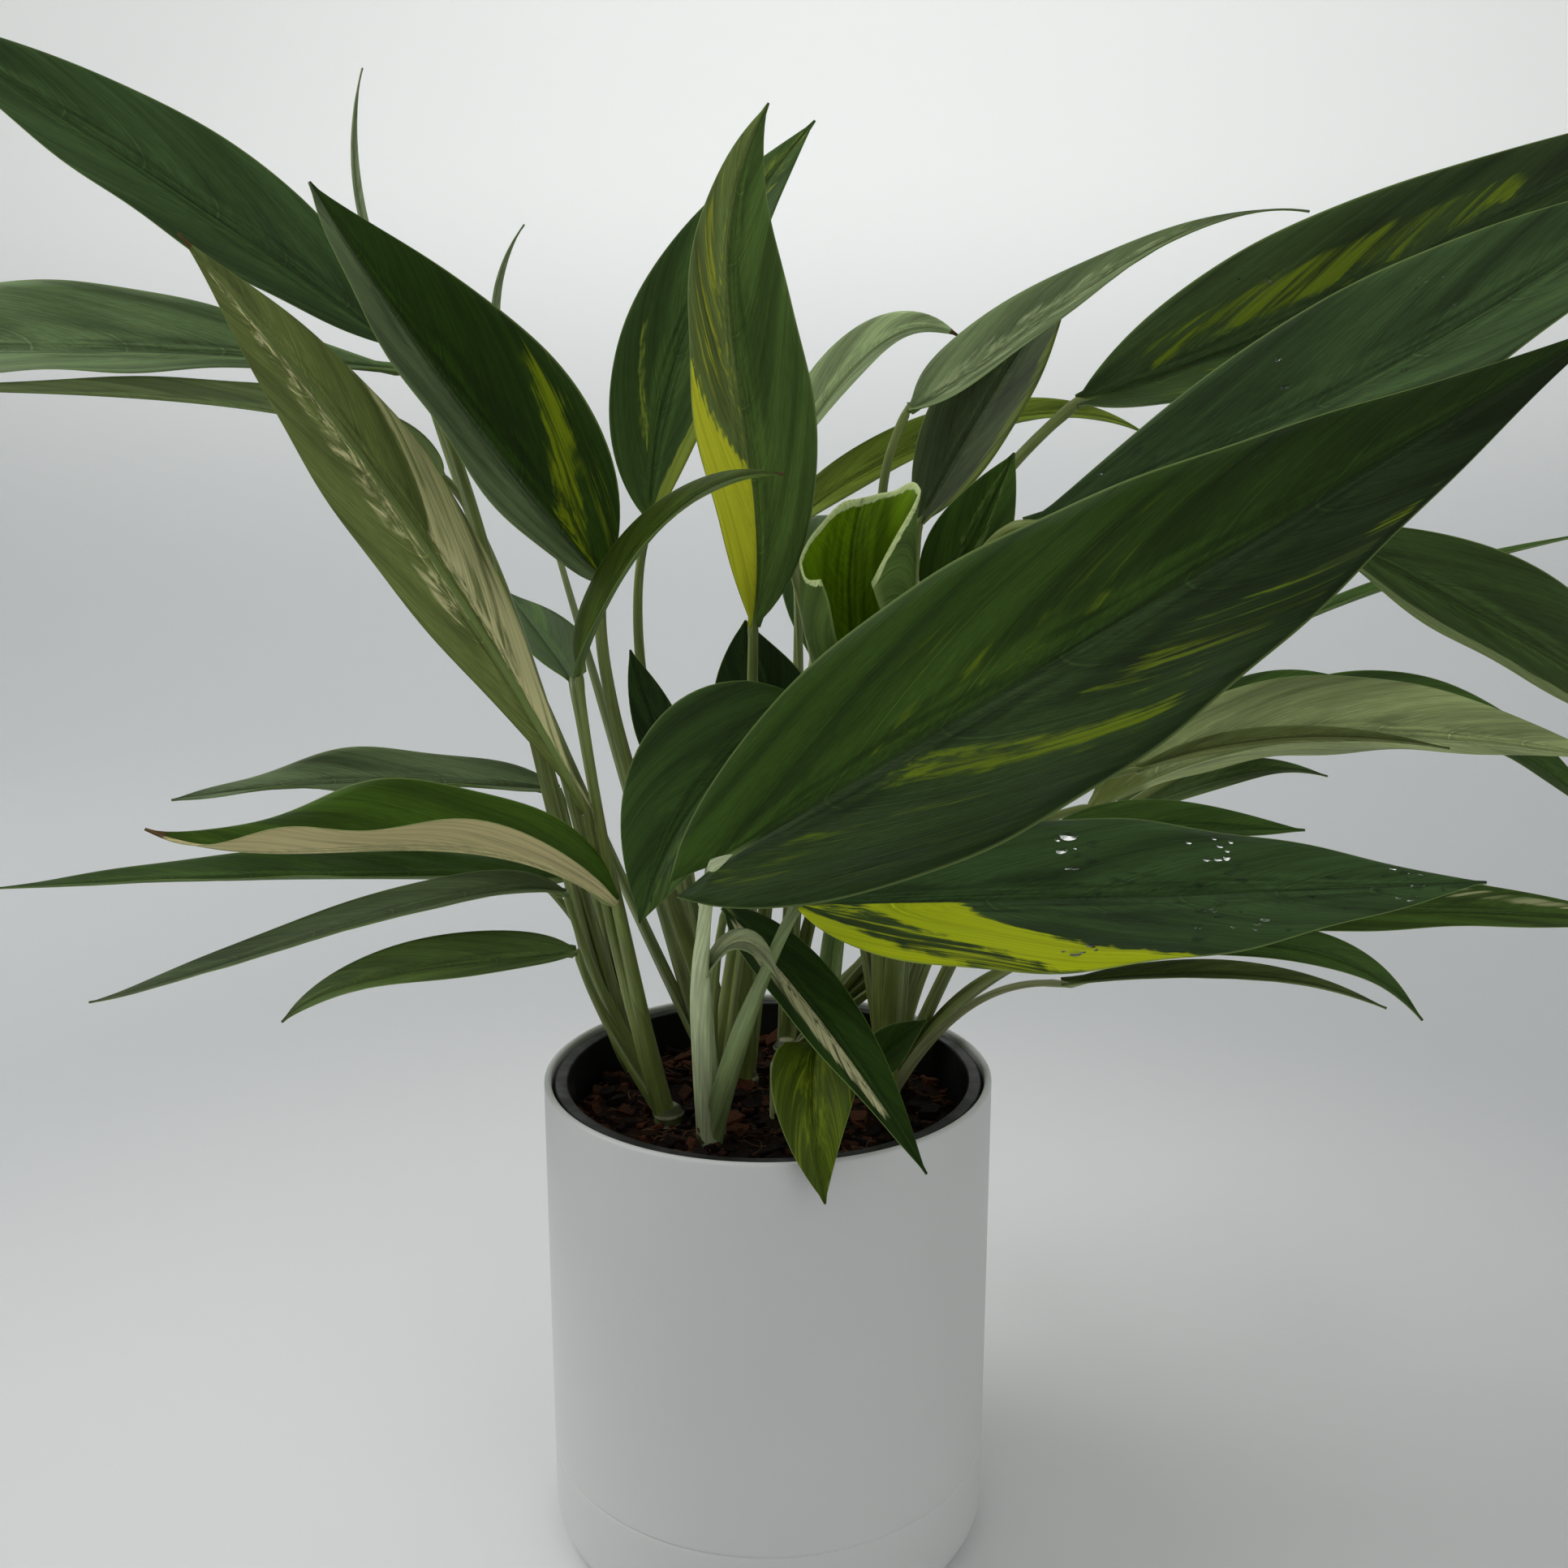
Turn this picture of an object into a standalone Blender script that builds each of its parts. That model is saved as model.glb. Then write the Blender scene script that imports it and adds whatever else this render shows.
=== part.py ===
"""A variegated long-leaved pothos in a black grow pot, which stands inside a straight white outer pot.

Metres, +Z up. The origin is the middle of the outer pot's flat bottom, and the front looks along -Y.
Dimensions and places below are in millimetres and become metres when a mesh is made.
"""

import math
from collections import namedtuple

import bmesh
import bpy
import numpy as np

MM = 0.001
GAP = 0.3  # between touching pieces

# Outer pot
POT_RADIUS = 70.0
POT_HEIGHT = 150.0
POT_WALL = 2.2
POT_FLOOR = 3.0
POT_FOOT_ROUND = 8.0  # the rounded lower edge
POT_LIP_ROUND = 1.0
POT_GROOVE_HEIGHT = 29.0  # the fine line around its lower part
POT_GROOVE_DEPTH = 0.4
POT_GROOVE_HALF_WIDTH = 0.5

# Grow pot
GROW_RIM_RADIUS = 66.8
GROW_RIM_DROP = 1.3  # its rim lies this far below the outer pot's lip
GROW_RIM_WIDTH = 4.0
GROW_RIM_SKIRT = 7.0
GROW_WALL = 1.2
GROW_FLOOR_RADIUS = 50.0
GROW_FLOOR = 1.4
GROW_FLOOR_RECESS = 2.0  # the bottom is raised inside a foot ring, so that water drains
GROW_FOOT_RING = 8.0
DRAIN_HOLES = 6
DRAIN_HOLE_RADIUS = 3.5
DRAIN_CIRCLE_RADIUS = 32.0

# Soil and stems
SOIL_TOP = 138.0
SOIL_EDGE_DIP = 2.5
SOIL_FLAT_RADIUS = 54.0
STEM_RADIUS = 6.0
STEM_DEPTH = 22.0
STEM_RISE = 9.0
STEM_TOP_SHARE = 0.8
STUB_PLACE = (3.0, -7.0)
STUB_RADIUS = 2.8
STUB_RISE = 16.0

# Leaves
BLADE_THICKNESS = 0.7
BLADE_TIP_HALF_WIDTH = 0.5
BLADE_BASE_HALF_WIDTH = 1.6
STALK_FOOT_RADIUS = 2.7
STALK_TOP_RADIUS = 1.5
STALK_END_RADIUS = 0.6
STALK_SPREAD = 2.2  # how far from the stem's middle a stalk starts
STALK_RISE = 1.0  # and how far above the soil
STALK_RINGS = 6
RIB_SHARE = 0.14  # the stalk runs on under the blade for this share of its length
BLADE_STEP = 22.0  # length of one row of blade cells
NARROW_BLADE = 20.0

ROUND_STEPS = 48
ARC_STEPS = 3

# One leaf. rib: points that the midrib passes evenly through, from the stalk to the tip. faces: where the upper
# side looks. via: points that the stalk passes between the stem and the blade. fold and curl: degrees that each half
# turns up at the rib and again across its width. widest: where along the blade. taper: how slim the tip is. lobe: how
# far the lobes reach back. wave: height of the waved edge. cut: the share of a torn blade that is left, and slant:
# how unevenly it is torn.
Leaf = namedtuple(
    "Leaf",
    "rib width faces via fold curl widest taper lobe wave cut slant",
    defaults=((), 18.0, 12.0, 0.38, 1.15, 0.0, 0.0, 1.0, 0.0),
)

# A leafy stem is one grown piece: a short stem in the soil, and its leaves. place: where it stands.
LeafyStem = namedtuple("LeafyStem", "place leaves")

LEAFY_STEMS = {
    "leafy_stem_front": LeafyStem(
        (-17, -25),
        {
            "broad_front": Leaf(
                [(-13, -72, 234), (89, -84, 300), (192, -100, 367)], 69, (-0.35, -0.85, 0.3),
                [(-18, -48, 197)], fold=5, curl=4, widest=0.34, taper=1.3, lobe=13,
            ),
            "wet_right": Leaf(
                [(9, -52, 218), (98, -66, 224), (184, -78, 231)], 57, (-0.05, -0.5, 0.86),
                [(-3, -50, 190)], fold=5, curl=2, widest=0.36,
            ),
            "behind_broad": Leaf(
                [(9, -20, 270), (-19, -37, 244), (-35, -47, 211)], 46, (-0.3, -0.85, 0.4), [(-4, -12, 222)],
            ),
            "hanging_cream": Leaf(
                [(-12, -24, 209), (17, -54, 183), (42, -86, 155)], 22, (0.4, -0.8, 0.45), [(-16, -25, 178)],
            ),
            "dry_sheath": Leaf(
                [(-17, -47, 196), (-6, -56, 208), (4, -62, 199)], 9, (0.0, -0.6, 0.8),
            ),
        },
    ),
    "leafy_stem_left": LeafyStem(
        (-31, -12),
        {
            "folded_cream": Leaf(
                [(-43, -34, 213), (-86, -40, 230), (-128, -46, 231), (-168, -52, 239)], 40, (0.0, -0.2, 0.98),
                [(-38, -20, 175)], fold=46, curl=4, wave=2,
            ),
            "pale_underside": Leaf(
                [(-51, -30, 239), (-97, -46, 325), (-144, -60, 391)], 32, (-0.5, 0.75, 0.45),
                [(-44, -22, 193)], fold=20, widest=0.5, taper=1.4,
            ),
            "arching_front": Leaf(
                [(-51, -40, 280), (-41, -50, 301), (-22, -60, 324), (5, -70, 333)], 19, (-0.7, -0.45, 0.55),
                [(-46, -30, 227)], widest=0.3,
            ),
            "low_slender": Leaf(
                [(-63, 5, 205), (-101, -5, 205), (-157, -11, 190), (-205, -16, 177)], 19, (0.0, -0.3, 1.0),
                [(-52, 6, 171)],
            ),
            "low_short": Leaf(
                [(-58, -10, 191), (-87, -15, 189), (-120, -20, 185), (-144, -25, 174)], 22, (0.0, -0.4, 0.9),
                [(-50, -4, 166)],
            ),
        },
    ),
    "leafy_stem_left_back": LeafyStem(
        (-43, 24),
        {
            "long_low": Leaf(
                [(-65, 20, 206), (-153, 10, 209), (-234, -10, 211)], 26, (0.0, -0.15, 1.0), [(-57, 24, 167)],
            ),
            "dull_low": Leaf(
                [(-68, 30, 233), (-131, 22, 237), (-186, 10, 234)], 27, (0.0, -0.33, 0.93),
                [(-57, 28, 185)], wave=2,
            ),
            "upper_left": Leaf(
                [(-106, 0, 369), (-163, -10, 410), (-238, -20, 458)], 40, (0.25, -0.8, 0.55),
                [(-64, 18, 207), (-84, 8, 308)], widest=0.45,
            ),
            "level_left": Leaf(
                [(-110, 30, 365), (-209, 20, 370), (-305, 10, 366)], 46, (0.1, -0.68, 0.72),
                [(-63, 24, 206), (-88, 26, 307)], widest=0.55,
            ),
            "edge_on_left": Leaf(
                [(-104, 40, 333), (-155, 30, 353), (-275, 10, 358)], 30, (0.0, 0.04, 1.0),
                [(-60, 40, 203), (-82, 46, 284)], fold=24,
            ),
            "back_left_high": Leaf(
                [(-71, 86, 262), (-86, 116, 274), (-106, 150, 290)], 26, (0.1, -0.4, 0.9), [(-54, 44, 195)],
            ),
            "back_left_low": Leaf(
                [(-78, 44, 200), (-133, 72, 206), (-184, 98, 190)], 30, (-0.2, 0.2, 0.95), [(-56, 36, 172)],
            ),
        },
    ),
    "leafy_stem_centre": LeafyStem(
        (-8, 18),
        {
            "yellow_patch": Leaf(
                [(-45, -30, 304), (-81, -44, 352), (-111, -60, 403)], 56, (0.55, -0.75, 0.35),
                [(-41, -10, 247)], fold=34,
            ),
            "tall_folded": Leaf(
                [(-4, -10, 290), (-5, -16, 339), (-10, -24, 384), (1, -30, 428)], 42, (0.3, -0.95, 0.0),
                [(-5, 0, 245)], fold=30, widest=0.42,
            ),
            "tall_behind": Leaf(
                [(-37, 30, 319), (-24, 24, 378), (14, 16, 434)], 36, (-0.1, -0.95, 0.2),
                [(-38, 24, 254)], widest=0.42,
            ),
            "small_dark": Leaf(
                [(-29, 10, 241), (-36, 5, 262), (-41, 0, 282)], 16, (0.3, -0.9, 0.2), [(-25, 14, 203)],
            ),
            "round_dark": Leaf(
                [(3, 40, 246), (-4, 30, 269), (-7, 20, 289)], 34, (0.0, -0.95, 0.3), [(1, 30, 212)],
            ),
            "back_middle": Leaf(
                [(-12, 56, 212), (-16, 102, 244), (-12, 152, 240)], 36, (0.0, -0.1, 1.0), [(-12, 36, 184)],
            ),
        },
    ),
    "leafy_stem_back_left": LeafyStem(
        (-22, 42),
        {
            "thin_high": Leaf(
                [(-123, 90, 377), (-142, 100, 425), (-141, 110, 472)], 5, (0.8, -0.5, 0.1), [(-88, 80, 274)],
            ),
            "thin_mid": Leaf(
                [(-87, 90, 352), (-96, 96, 388), (-85, 100, 419)], 5, (0.8, -0.5, 0.1), [(-65, 80, 274)],
            ),
            "back_hanging": Leaf(
                [(-30, 88, 196), (-40, 136, 198), (-50, 180, 152)], 36, (-0.1, 0.3, 0.95), [(-26, 62, 174)],
            ),
            "back_left_hanging": Leaf(
                [(-40, 76, 188), (-62, 120, 176), (-78, 158, 132)], 32, (-0.4, 0.3, 0.85), [(-32, 56, 168)],
            ),
        },
    ),
    "leafy_stem_front_right": LeafyStem(
        (14, -22),
        {
            "young_rolled": Leaf(
                [(30, -10, 260), (24, -14, 298), (27, -18, 326)], 84, (0.1, -1.0, 0.15),
                [(22, -16, 211)], fold=10, curl=135, cut=0.6, slant=30,
            ),
            "hanging_lime": Leaf(
                [(14, -51, 177), (13, -66, 161), (16, -77, 142)], 26, (0.0, -0.95, 0.2),
                [(13, -32, 164)], widest=0.25,
            ),
            "small_low": Leaf(
                [(32, -11, 153), (39, -14, 163), (48, -18, 172)], 14, (0.0, -0.8, 0.6), [(24, -16, 148)],
            ),
        },
    ),
    "leafy_stem_right": LeafyStem(
        (38, 6),
        {
            "upper_right": Leaf(
                [(87, -15, 353), (164, -25, 382), (246, -35, 431)], 50, (-0.5, -0.8, 0.35),
                [(40, 0, 258), (60, -5, 321)], fold=26, widest=0.42,
            ),
            "dark_right": Leaf(
                [(68, -50, 320), (152, -60, 357), (225, -70, 407)], 46, (-0.3, -0.8, 0.55),
                [(48, -20, 273)], widest=0.5,
            ),
            "long_tailed": Leaf(
                [(41, 0, 352), (69, 2, 369), (111, 6, 397), (157, 10, 408)], 27, (-0.45, -0.6, 0.75),
                [(39, 6, 262), (34, 4, 318)], widest=0.3, taper=2.4,
            ),
            "folded_small": Leaf(
                [(47, -20, 294), (59, -24, 318), (68, -28, 339)], 24, (-0.2, -0.9, 0.2), [(47, 4, 250)],
            ),
            "low_behind_wet": Leaf(
                [(86, 0, 226), (124, -4, 228), (161, -10, 229)], 20, (0.0, -0.5, 0.85), [(70, 10, 204)],
            ),
            "low_dark_tip": Leaf(
                [(119, -27, 197), (161, -33, 197), (189, -37, 179)], 14, (0.3, -0.6, 0.7), [(72, 0, 181)],
            ),
            "low_thin": Leaf(
                [(84, -40, 191), (134, -48, 196), (172, -52, 188)], 10, (0.1, -0.3, 1.0), [(61, -12, 174)],
            ),
        },
    ),
    "leafy_stem_right_back": LeafyStem(
        (40, 27),
        {
            "grey_right": Leaf(
                [(47, 26, 319), (70, 24, 360), (92, 20, 393)], 30, (-0.3, -0.9, 0.3), [(45, 30, 266)], widest=0.4,
            ),
            "lime_arch": Leaf(
                [(3, 51, 314), (39, 64, 338), (85, 70, 353), (126, 66, 347)], 20, (0.0, -0.6, 0.75),
                [(17, 46, 264)],
            ),
            "far_right": Leaf(
                [(158, 4, 320), (195, -6, 300), (229, -20, 279), (258, -34, 253)], 40, (0.35, -0.85, 0.3),
                [(70, 24, 219), (119, 14, 277)], widest=0.5,
            ),
            "pale_right": Leaf(
                [(107, 40, 225), (160, 40, 246), (218, 40, 249), (278, 40, 242)], 46, (0.0, 0.75, 0.65),
                [(67, 36, 201)],
            ),
            "narrow_right": Leaf(
                [(118, 24, 241), (147, 20, 250), (179, 16, 253), (212, 12, 250)], 9, (0.0, -0.6, 0.8),
                [(71, 28, 210)],
            ),
            "low_right": Leaf(
                [(117, 4, 193), (190, -5, 202), (275, -15, 200)], 27, (0.0, -0.5, 0.85), [(79, 16, 178)],
            ),
        },
    ),
    "leafy_stem_back": LeafyStem(
        (6, 44),
        {
            "pale_arch": Leaf(
                [(3, 70, 335), (22, 68, 362), (42, 64, 379), (62, 60, 378)], 22, (-0.4, 0.6, 0.65),
                [(10, 60, 276)],
            ),
            "thin_far_right": Leaf(
                [(173, 88, 275), (229, 92, 297), (305, 96, 316)], 12, (0.0, -0.1, 1.0),
                [(82, 70, 214), (130, 80, 250)],
            ),
            "drooping_right": Leaf(
                [(152, 70, 235), (233, 76, 250), (312, 80, 200)], 30, (0.1, -0.7, 0.7), [(99, 60, 204)],
            ),
            "small_right": Leaf(
                [(145, 70, 249), (175, 70, 261), (206, 70, 263)], 16, (0.0, -0.4, 0.9), [(85, 60, 219)],
            ),
            "tailed_right": Leaf(
                [(121, 70, 217), (149, 70, 226), (173, 70, 232), (196, 70, 230)], 16, (0.0, -0.5, 0.85),
                [(77, 60, 196)], widest=0.3,
            ),
            "back_right": Leaf(
                [(40, 96, 232), (68, 136, 262), (98, 178, 262)], 36, (0.1, -0.35, 0.9), [(18, 62, 192)],
            ),
            "back_right_hanging": Leaf(
                [(14, 88, 200), (26, 134, 196), (36, 172, 150)], 36, (0.1, 0.4, 0.9), [(9, 60, 178)],
            ),
            "back_high": Leaf(
                [(16, 96, 270), (28, 140, 308), (50, 186, 306)], 40, (0.0, -0.3, 0.95), [(9, 64, 212)],
            ),
            "back_right_low": Leaf(
                [(80, 80, 192), (118, 112, 192), (152, 142, 156)], 34, (0.4, 0.3, 0.85), [(38, 62, 168)],
            ),
        },
    ),
}

COLOURS = {
    "outer_pot": ((0.78, 0.80, 0.82, 1.0), 0.42),
    "grow_pot": ((0.012, 0.012, 0.013, 1.0), 0.38),
    "soil": ((0.030, 0.014, 0.008, 1.0), 0.95),
    "leaf": ((0.035, 0.105, 0.022, 1.0), 0.36),
    "cut_stub": ((0.42, 0.50, 0.24, 1.0), 0.55),
}


# The form of a leaf
def unit(vector):
    return vector / np.linalg.norm(vector)


def through(points, share):
    """The place at this share, 0 to 1, of the smooth curve that passes evenly through the points."""
    knots = np.linspace(0.0, 1.0, len(points))
    place = np.zeros(3)
    for i, point in enumerate(points):
        others = np.delete(knots, i)
        place += np.prod((share - others) / (knots[i] - others)) * np.asarray(point, float)
    return place


def half_width(leaf, share):
    along = share * leaf.cut
    rise = leaf.taper * leaf.widest / (1.0 - leaf.widest)
    peak = leaf.widest**rise * (1.0 - leaf.widest) ** leaf.taper
    outline = along**rise * (1.0 - along) ** leaf.taper / peak
    least = BLADE_BASE_HALF_WIDTH * (1.0 - along) ** 3 + BLADE_TIP_HALF_WIDTH
    return max(least, 0.5 * leaf.width * outline)


def rib_frame(leaf, share):
    """The place on the midrib, with the directions along it, to its side and up from its upper face."""
    step = 0.01
    ahead = through(leaf.rib, min(1.0, share + step))
    along = unit(ahead - through(leaf.rib, max(0.0, share - step)))
    faces = np.asarray(leaf.faces, float)
    up = unit(faces - faces.dot(along) * along)
    return through(leaf.rib, share), along, np.cross(along, up), up


def blade_point(leaf, share, across):
    """A point of the blade: share runs from the stalk to the tip, across from -1 at one edge to 1 at the other."""
    middle, along, side, up = rib_frame(leaf, share)
    width = half_width(leaf, share)
    out = abs(across)
    bent = 1.0 - (share * leaf.cut) ** 8  # the tip is flat
    fold = math.radians(leaf.fold) * bent
    curl = math.radians(leaf.curl) * bent + 0.0001
    sideways = width * (math.sin(fold + curl * out) - math.sin(fold)) / curl
    raised = width * (math.cos(fold) - math.cos(fold + curl * out)) / curl
    waves = math.sin(4.0 * math.pi * share + 1.3 * np.sign(across))
    raised += leaf.wave * out**2 * 4.0 * share * (1.0 - share) * waves
    torn = leaf.slant * (across - across * out**3 - 0.6 * out**4)
    back = leaf.lobe * out**1.5 * (1.0 - share) ** 8 - torn * share
    return middle + np.sign(across) * sideways * side + raised * up - back * along


def rib_length(leaf):
    points = [through(leaf.rib, i / 8) for i in range(9)]
    return sum(np.linalg.norm(b - a) for a, b in zip(points, points[1:]))


# Making and joining meshes
def collection_for(name):
    made = bpy.data.collections.new(name)
    bpy.context.scene.collection.children.link(made)
    return made


def add_object(name, mesh, collection):
    made = bpy.data.objects.new(name, mesh)
    collection.objects.link(made)
    return made


def material_of(name):
    colour, roughness = COLOURS[name]
    made = bpy.data.materials.new(name)
    made.use_nodes = True
    shader = made.node_tree.nodes["Principled BSDF"]
    shader.inputs["Base Color"].default_value = colour
    shader.inputs["Roughness"].default_value = roughness
    shader.inputs["Metallic"].default_value = 0.0
    return made


def evaluated_mesh(source):
    graph = bpy.context.evaluated_depsgraph_get()
    return bpy.data.meshes.new_from_object(source.evaluated_get(graph))


def settle(target):
    """Makes the modifiers' result the object's own mesh."""
    mesh = evaluated_mesh(target)
    target.modifiers.clear()
    target.data = mesh


def turned(name, profile, collection):
    """The profile of (radius, height) points, turned about Z."""
    mesh = bpy.data.meshes.new(name)
    shape = bmesh.new()
    corners = [shape.verts.new((radius * MM, 0.0, height * MM)) for radius, height in profile]
    for a, b in zip(corners, corners[1:]):
        shape.edges.new((a, b))
    shape.to_mesh(mesh)
    shape.free()
    made = add_object(name, mesh, collection)
    screw = made.modifiers.new("turn", "SCREW")
    screw.steps = screw.render_steps = ROUND_STEPS
    screw.use_merge_vertices = True
    screw.merge_threshold = 0.00001
    settle(made)
    return made


def arc(middle, radius, start, end):
    """Points on an arc in the profile's plane, with the angles in degrees from the outward direction."""
    points = []
    for i in range(ARC_STEPS + 1):
        angle = math.radians(start + (end - start) * i / ARC_STEPS)
        points.append((middle[0] + radius * math.cos(angle), middle[1] + radius * math.sin(angle)))
    return points


def upright(name, place, low, high, low_radius, high_radius, collection, sides=16):
    """A round peg from one height to another."""
    mesh = bpy.data.meshes.new(name)
    shape = bmesh.new()
    bmesh.ops.create_cone(
        shape, cap_ends=True, segments=sides, radius1=low_radius * MM, radius2=high_radius * MM,
        depth=(high - low) * MM,
    )
    shape.to_mesh(mesh)
    shape.free()
    made = add_object(name, mesh, collection)
    made.location = (place[0] * MM, place[1] * MM, 0.5 * (low + high) * MM)
    return made


def boolean(target, others, operation):
    """Joins the other collection's objects to the target, or cuts them from it, and removes them."""
    modifier = target.modifiers.new(operation.lower(), "BOOLEAN")
    modifier.operation = operation
    modifier.operand_type = "COLLECTION"
    modifier.collection = others
    settle(target)
    for other in list(others.objects):
        bpy.data.objects.remove(other)
    bpy.data.collections.remove(others)


def finish(target, material, smooth_degrees=40.0):
    target.data.materials.clear()
    target.data.materials.append(material)
    target.data.shade_smooth()
    target.data.set_sharp_from_angle(angle=math.radians(smooth_degrees))


# The pots and the soil
def outer_pot(collection, material):
    inner = POT_RADIUS - POT_WALL
    corner = POT_FLOOR + POT_FOOT_ROUND - POT_WALL
    profile = [(0.0, POT_FLOOR)]
    profile += arc((inner - POT_FOOT_ROUND + POT_WALL, corner), POT_FOOT_ROUND - POT_WALL, -90, 0)
    profile += arc((inner + POT_LIP_ROUND, POT_HEIGHT - POT_LIP_ROUND), POT_LIP_ROUND, 180, 90)
    profile += arc((POT_RADIUS - POT_LIP_ROUND, POT_HEIGHT - POT_LIP_ROUND), POT_LIP_ROUND, 90, 0)
    profile += [
        (POT_RADIUS, POT_GROOVE_HEIGHT + POT_GROOVE_HALF_WIDTH),
        (POT_RADIUS - POT_GROOVE_DEPTH, POT_GROOVE_HEIGHT),
        (POT_RADIUS, POT_GROOVE_HEIGHT - POT_GROOVE_HALF_WIDTH),
    ]
    profile += arc((POT_RADIUS - POT_FOOT_ROUND, POT_FOOT_ROUND), POT_FOOT_ROUND, 0, -90)
    profile += [(0.0, 0.0)]
    finish(turned("outer_pot", profile, collection), material)


def grow_wall_inside(height):
    """The grow pot's inner radius at this height: a plain taper from its rim to its floor."""
    low = POT_FLOOR + GAP
    high = POT_HEIGHT - GROW_RIM_DROP
    foot = GROW_FLOOR_RADIUS - GROW_WALL
    return foot + (GROW_RIM_RADIUS - GROW_RIM_WIDTH - foot) * (height - low) / (high - low)


def grow_pot(collection, material):
    low = POT_FLOOR + GAP
    floor_under = low + GROW_FLOOR_RECESS
    floor_top = floor_under + GROW_FLOOR
    high = POT_HEIGHT - GROW_RIM_DROP
    ring = GROW_FLOOR_RADIUS - GROW_FOOT_RING
    edge = 0.5
    profile = [
        (0.0, floor_top),
        (grow_wall_inside(floor_top), floor_top),
        (grow_wall_inside(high - edge), high - edge),
        (grow_wall_inside(high) + edge, high),
        (GROW_RIM_RADIUS - edge, high),
        (GROW_RIM_RADIUS, high - edge),
        (GROW_RIM_RADIUS, high - GROW_RIM_SKIRT),
        (GROW_RIM_RADIUS - GROW_WALL, high - GROW_RIM_SKIRT),
        (GROW_RIM_RADIUS - GROW_WALL, high - GROW_WALL),
        (grow_wall_inside(high) + GROW_WALL, high - GROW_WALL),
        (GROW_FLOOR_RADIUS, low + edge),
        (GROW_FLOOR_RADIUS - edge, low),
        (ring, low),
        (ring - GROW_FLOOR_RECESS, floor_under),
        (0.0, floor_under),
    ]
    made = turned("grow_pot", profile, collection)
    drains = collection_for("grow_pot_drains")
    for i in range(DRAIN_HOLES):
        angle = 2.0 * math.pi * i / DRAIN_HOLES
        place = (DRAIN_CIRCLE_RADIUS * math.cos(angle), DRAIN_CIRCLE_RADIUS * math.sin(angle))
        upright(
            "drain", place, low, floor_top + GROW_FLOOR, DRAIN_HOLE_RADIUS, DRAIN_HOLE_RADIUS, drains, sides=12
        )
    boolean(made, drains, "DIFFERENCE")
    finish(made, material)


def soil(collection, material):
    foot = POT_FLOOR + GAP + GROW_FLOOR_RECESS + GROW_FLOOR + GAP
    edge_top = SOIL_TOP - SOIL_EDGE_DIP
    profile = [
        (0.0, SOIL_TOP),
        (SOIL_FLAT_RADIUS, SOIL_TOP),
        (grow_wall_inside(edge_top) - GAP, edge_top),
        (grow_wall_inside(foot) - GAP, foot),
        (0.0, foot),
    ]
    made = turned("soil", profile, collection)
    holes = collection_for("soil_holes")
    above = SOIL_TOP + STEM_RISE
    for stem in LEAFY_STEMS.values():
        reach = STEM_RADIUS + GAP
        upright("hole", stem.place, SOIL_TOP - STEM_DEPTH - GAP, above, reach, reach, holes)
    reach = STUB_RADIUS + GAP
    upright("hole", STUB_PLACE, SOIL_TOP - STEM_DEPTH - GAP, above, reach, reach, holes, sides=10)
    boolean(made, holes, "DIFFERENCE")
    finish(made, material)


# The plant
def blade(leaf, collection):
    rows = max(5, min(10, round(rib_length(leaf) / BLADE_STEP)))
    columns = 4 if leaf.width > NARROW_BLADE else 2
    if leaf.cut < 1.0:
        columns = 10
    mesh = bpy.data.meshes.new("blade")
    shape = bmesh.new()
    bmesh.ops.create_grid(shape, x_segments=rows, y_segments=columns, size=1.0)
    for corner in shape.verts:
        corner.co = blade_point(leaf, 0.5 * (corner.co.x + 1.0), corner.co.y) * MM
    bmesh.ops.triangulate(shape, faces=shape.faces[:])
    shape.to_mesh(mesh)
    shape.free()
    made = add_object("blade", mesh, collection)
    shell = made.modifiers.new("thickness", "SOLIDIFY")
    shell.thickness = BLADE_THICKNESS * MM
    shell.offset = 0.0
    settle(made)


def stalk_path(leaf, place):
    """Places and radii along the stalk, from inside the stem to under the blade's midrib."""
    nearest = np.array((leaf.via[0][0] - place[0], leaf.via[0][1] - place[1]))
    start = np.array(place) + STALK_SPREAD * unit(nearest)
    points = [(start[0], start[1], SOIL_TOP + STALK_RISE), *leaf.via, leaf.rib[0]]
    path = []
    for i in range(STALK_RINGS):
        share = i / (STALK_RINGS - 1)
        radius = STALK_FOOT_RADIUS + (STALK_TOP_RADIUS - STALK_FOOT_RADIUS) * share**0.7
        path.append((through(points, share), radius))
    path.append((through(leaf.rib, RIB_SHARE), STALK_END_RADIUS))
    return path


def stalk(leaf, place, collection):
    path = stalk_path(leaf, place)
    line = bpy.data.curves.new("stalk", "CURVE")
    line.dimensions = "3D"
    line.bevel_depth = MM
    line.bevel_resolution = 1
    line.use_fill_caps = True
    spline = line.splines.new("POLY")
    spline.points.add(len(path) - 1)
    for point, (position, radius) in zip(spline.points, path):
        point.co = (*(position * MM), 1.0)
        point.radius = radius
    source = add_object("stalk_line", line, collection)
    bpy.context.view_layer.update()
    mesh = evaluated_mesh(source)
    bpy.data.objects.remove(source)
    shape = bmesh.new()
    shape.from_mesh(mesh)
    bmesh.ops.remove_doubles(shape, verts=shape.verts[:], dist=0.00001)
    shape.to_mesh(mesh)
    shape.free()
    add_object("stalk", mesh, collection)


def leafy_stem(name, stem, collection, material):
    made = upright(
        name, stem.place, SOIL_TOP - STEM_DEPTH, SOIL_TOP + STEM_RISE, STEM_RADIUS,
        STEM_RADIUS * STEM_TOP_SHARE, collection, sides=12,
    )
    grown = collection_for(name + "_leaves")
    for leaf in stem.leaves.values():
        blade(leaf, grown)
        if leaf.via:
            stalk(leaf, stem.place, grown)
    boolean(made, grown, "UNION")
    finish(made, material, smooth_degrees=60.0)


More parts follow.
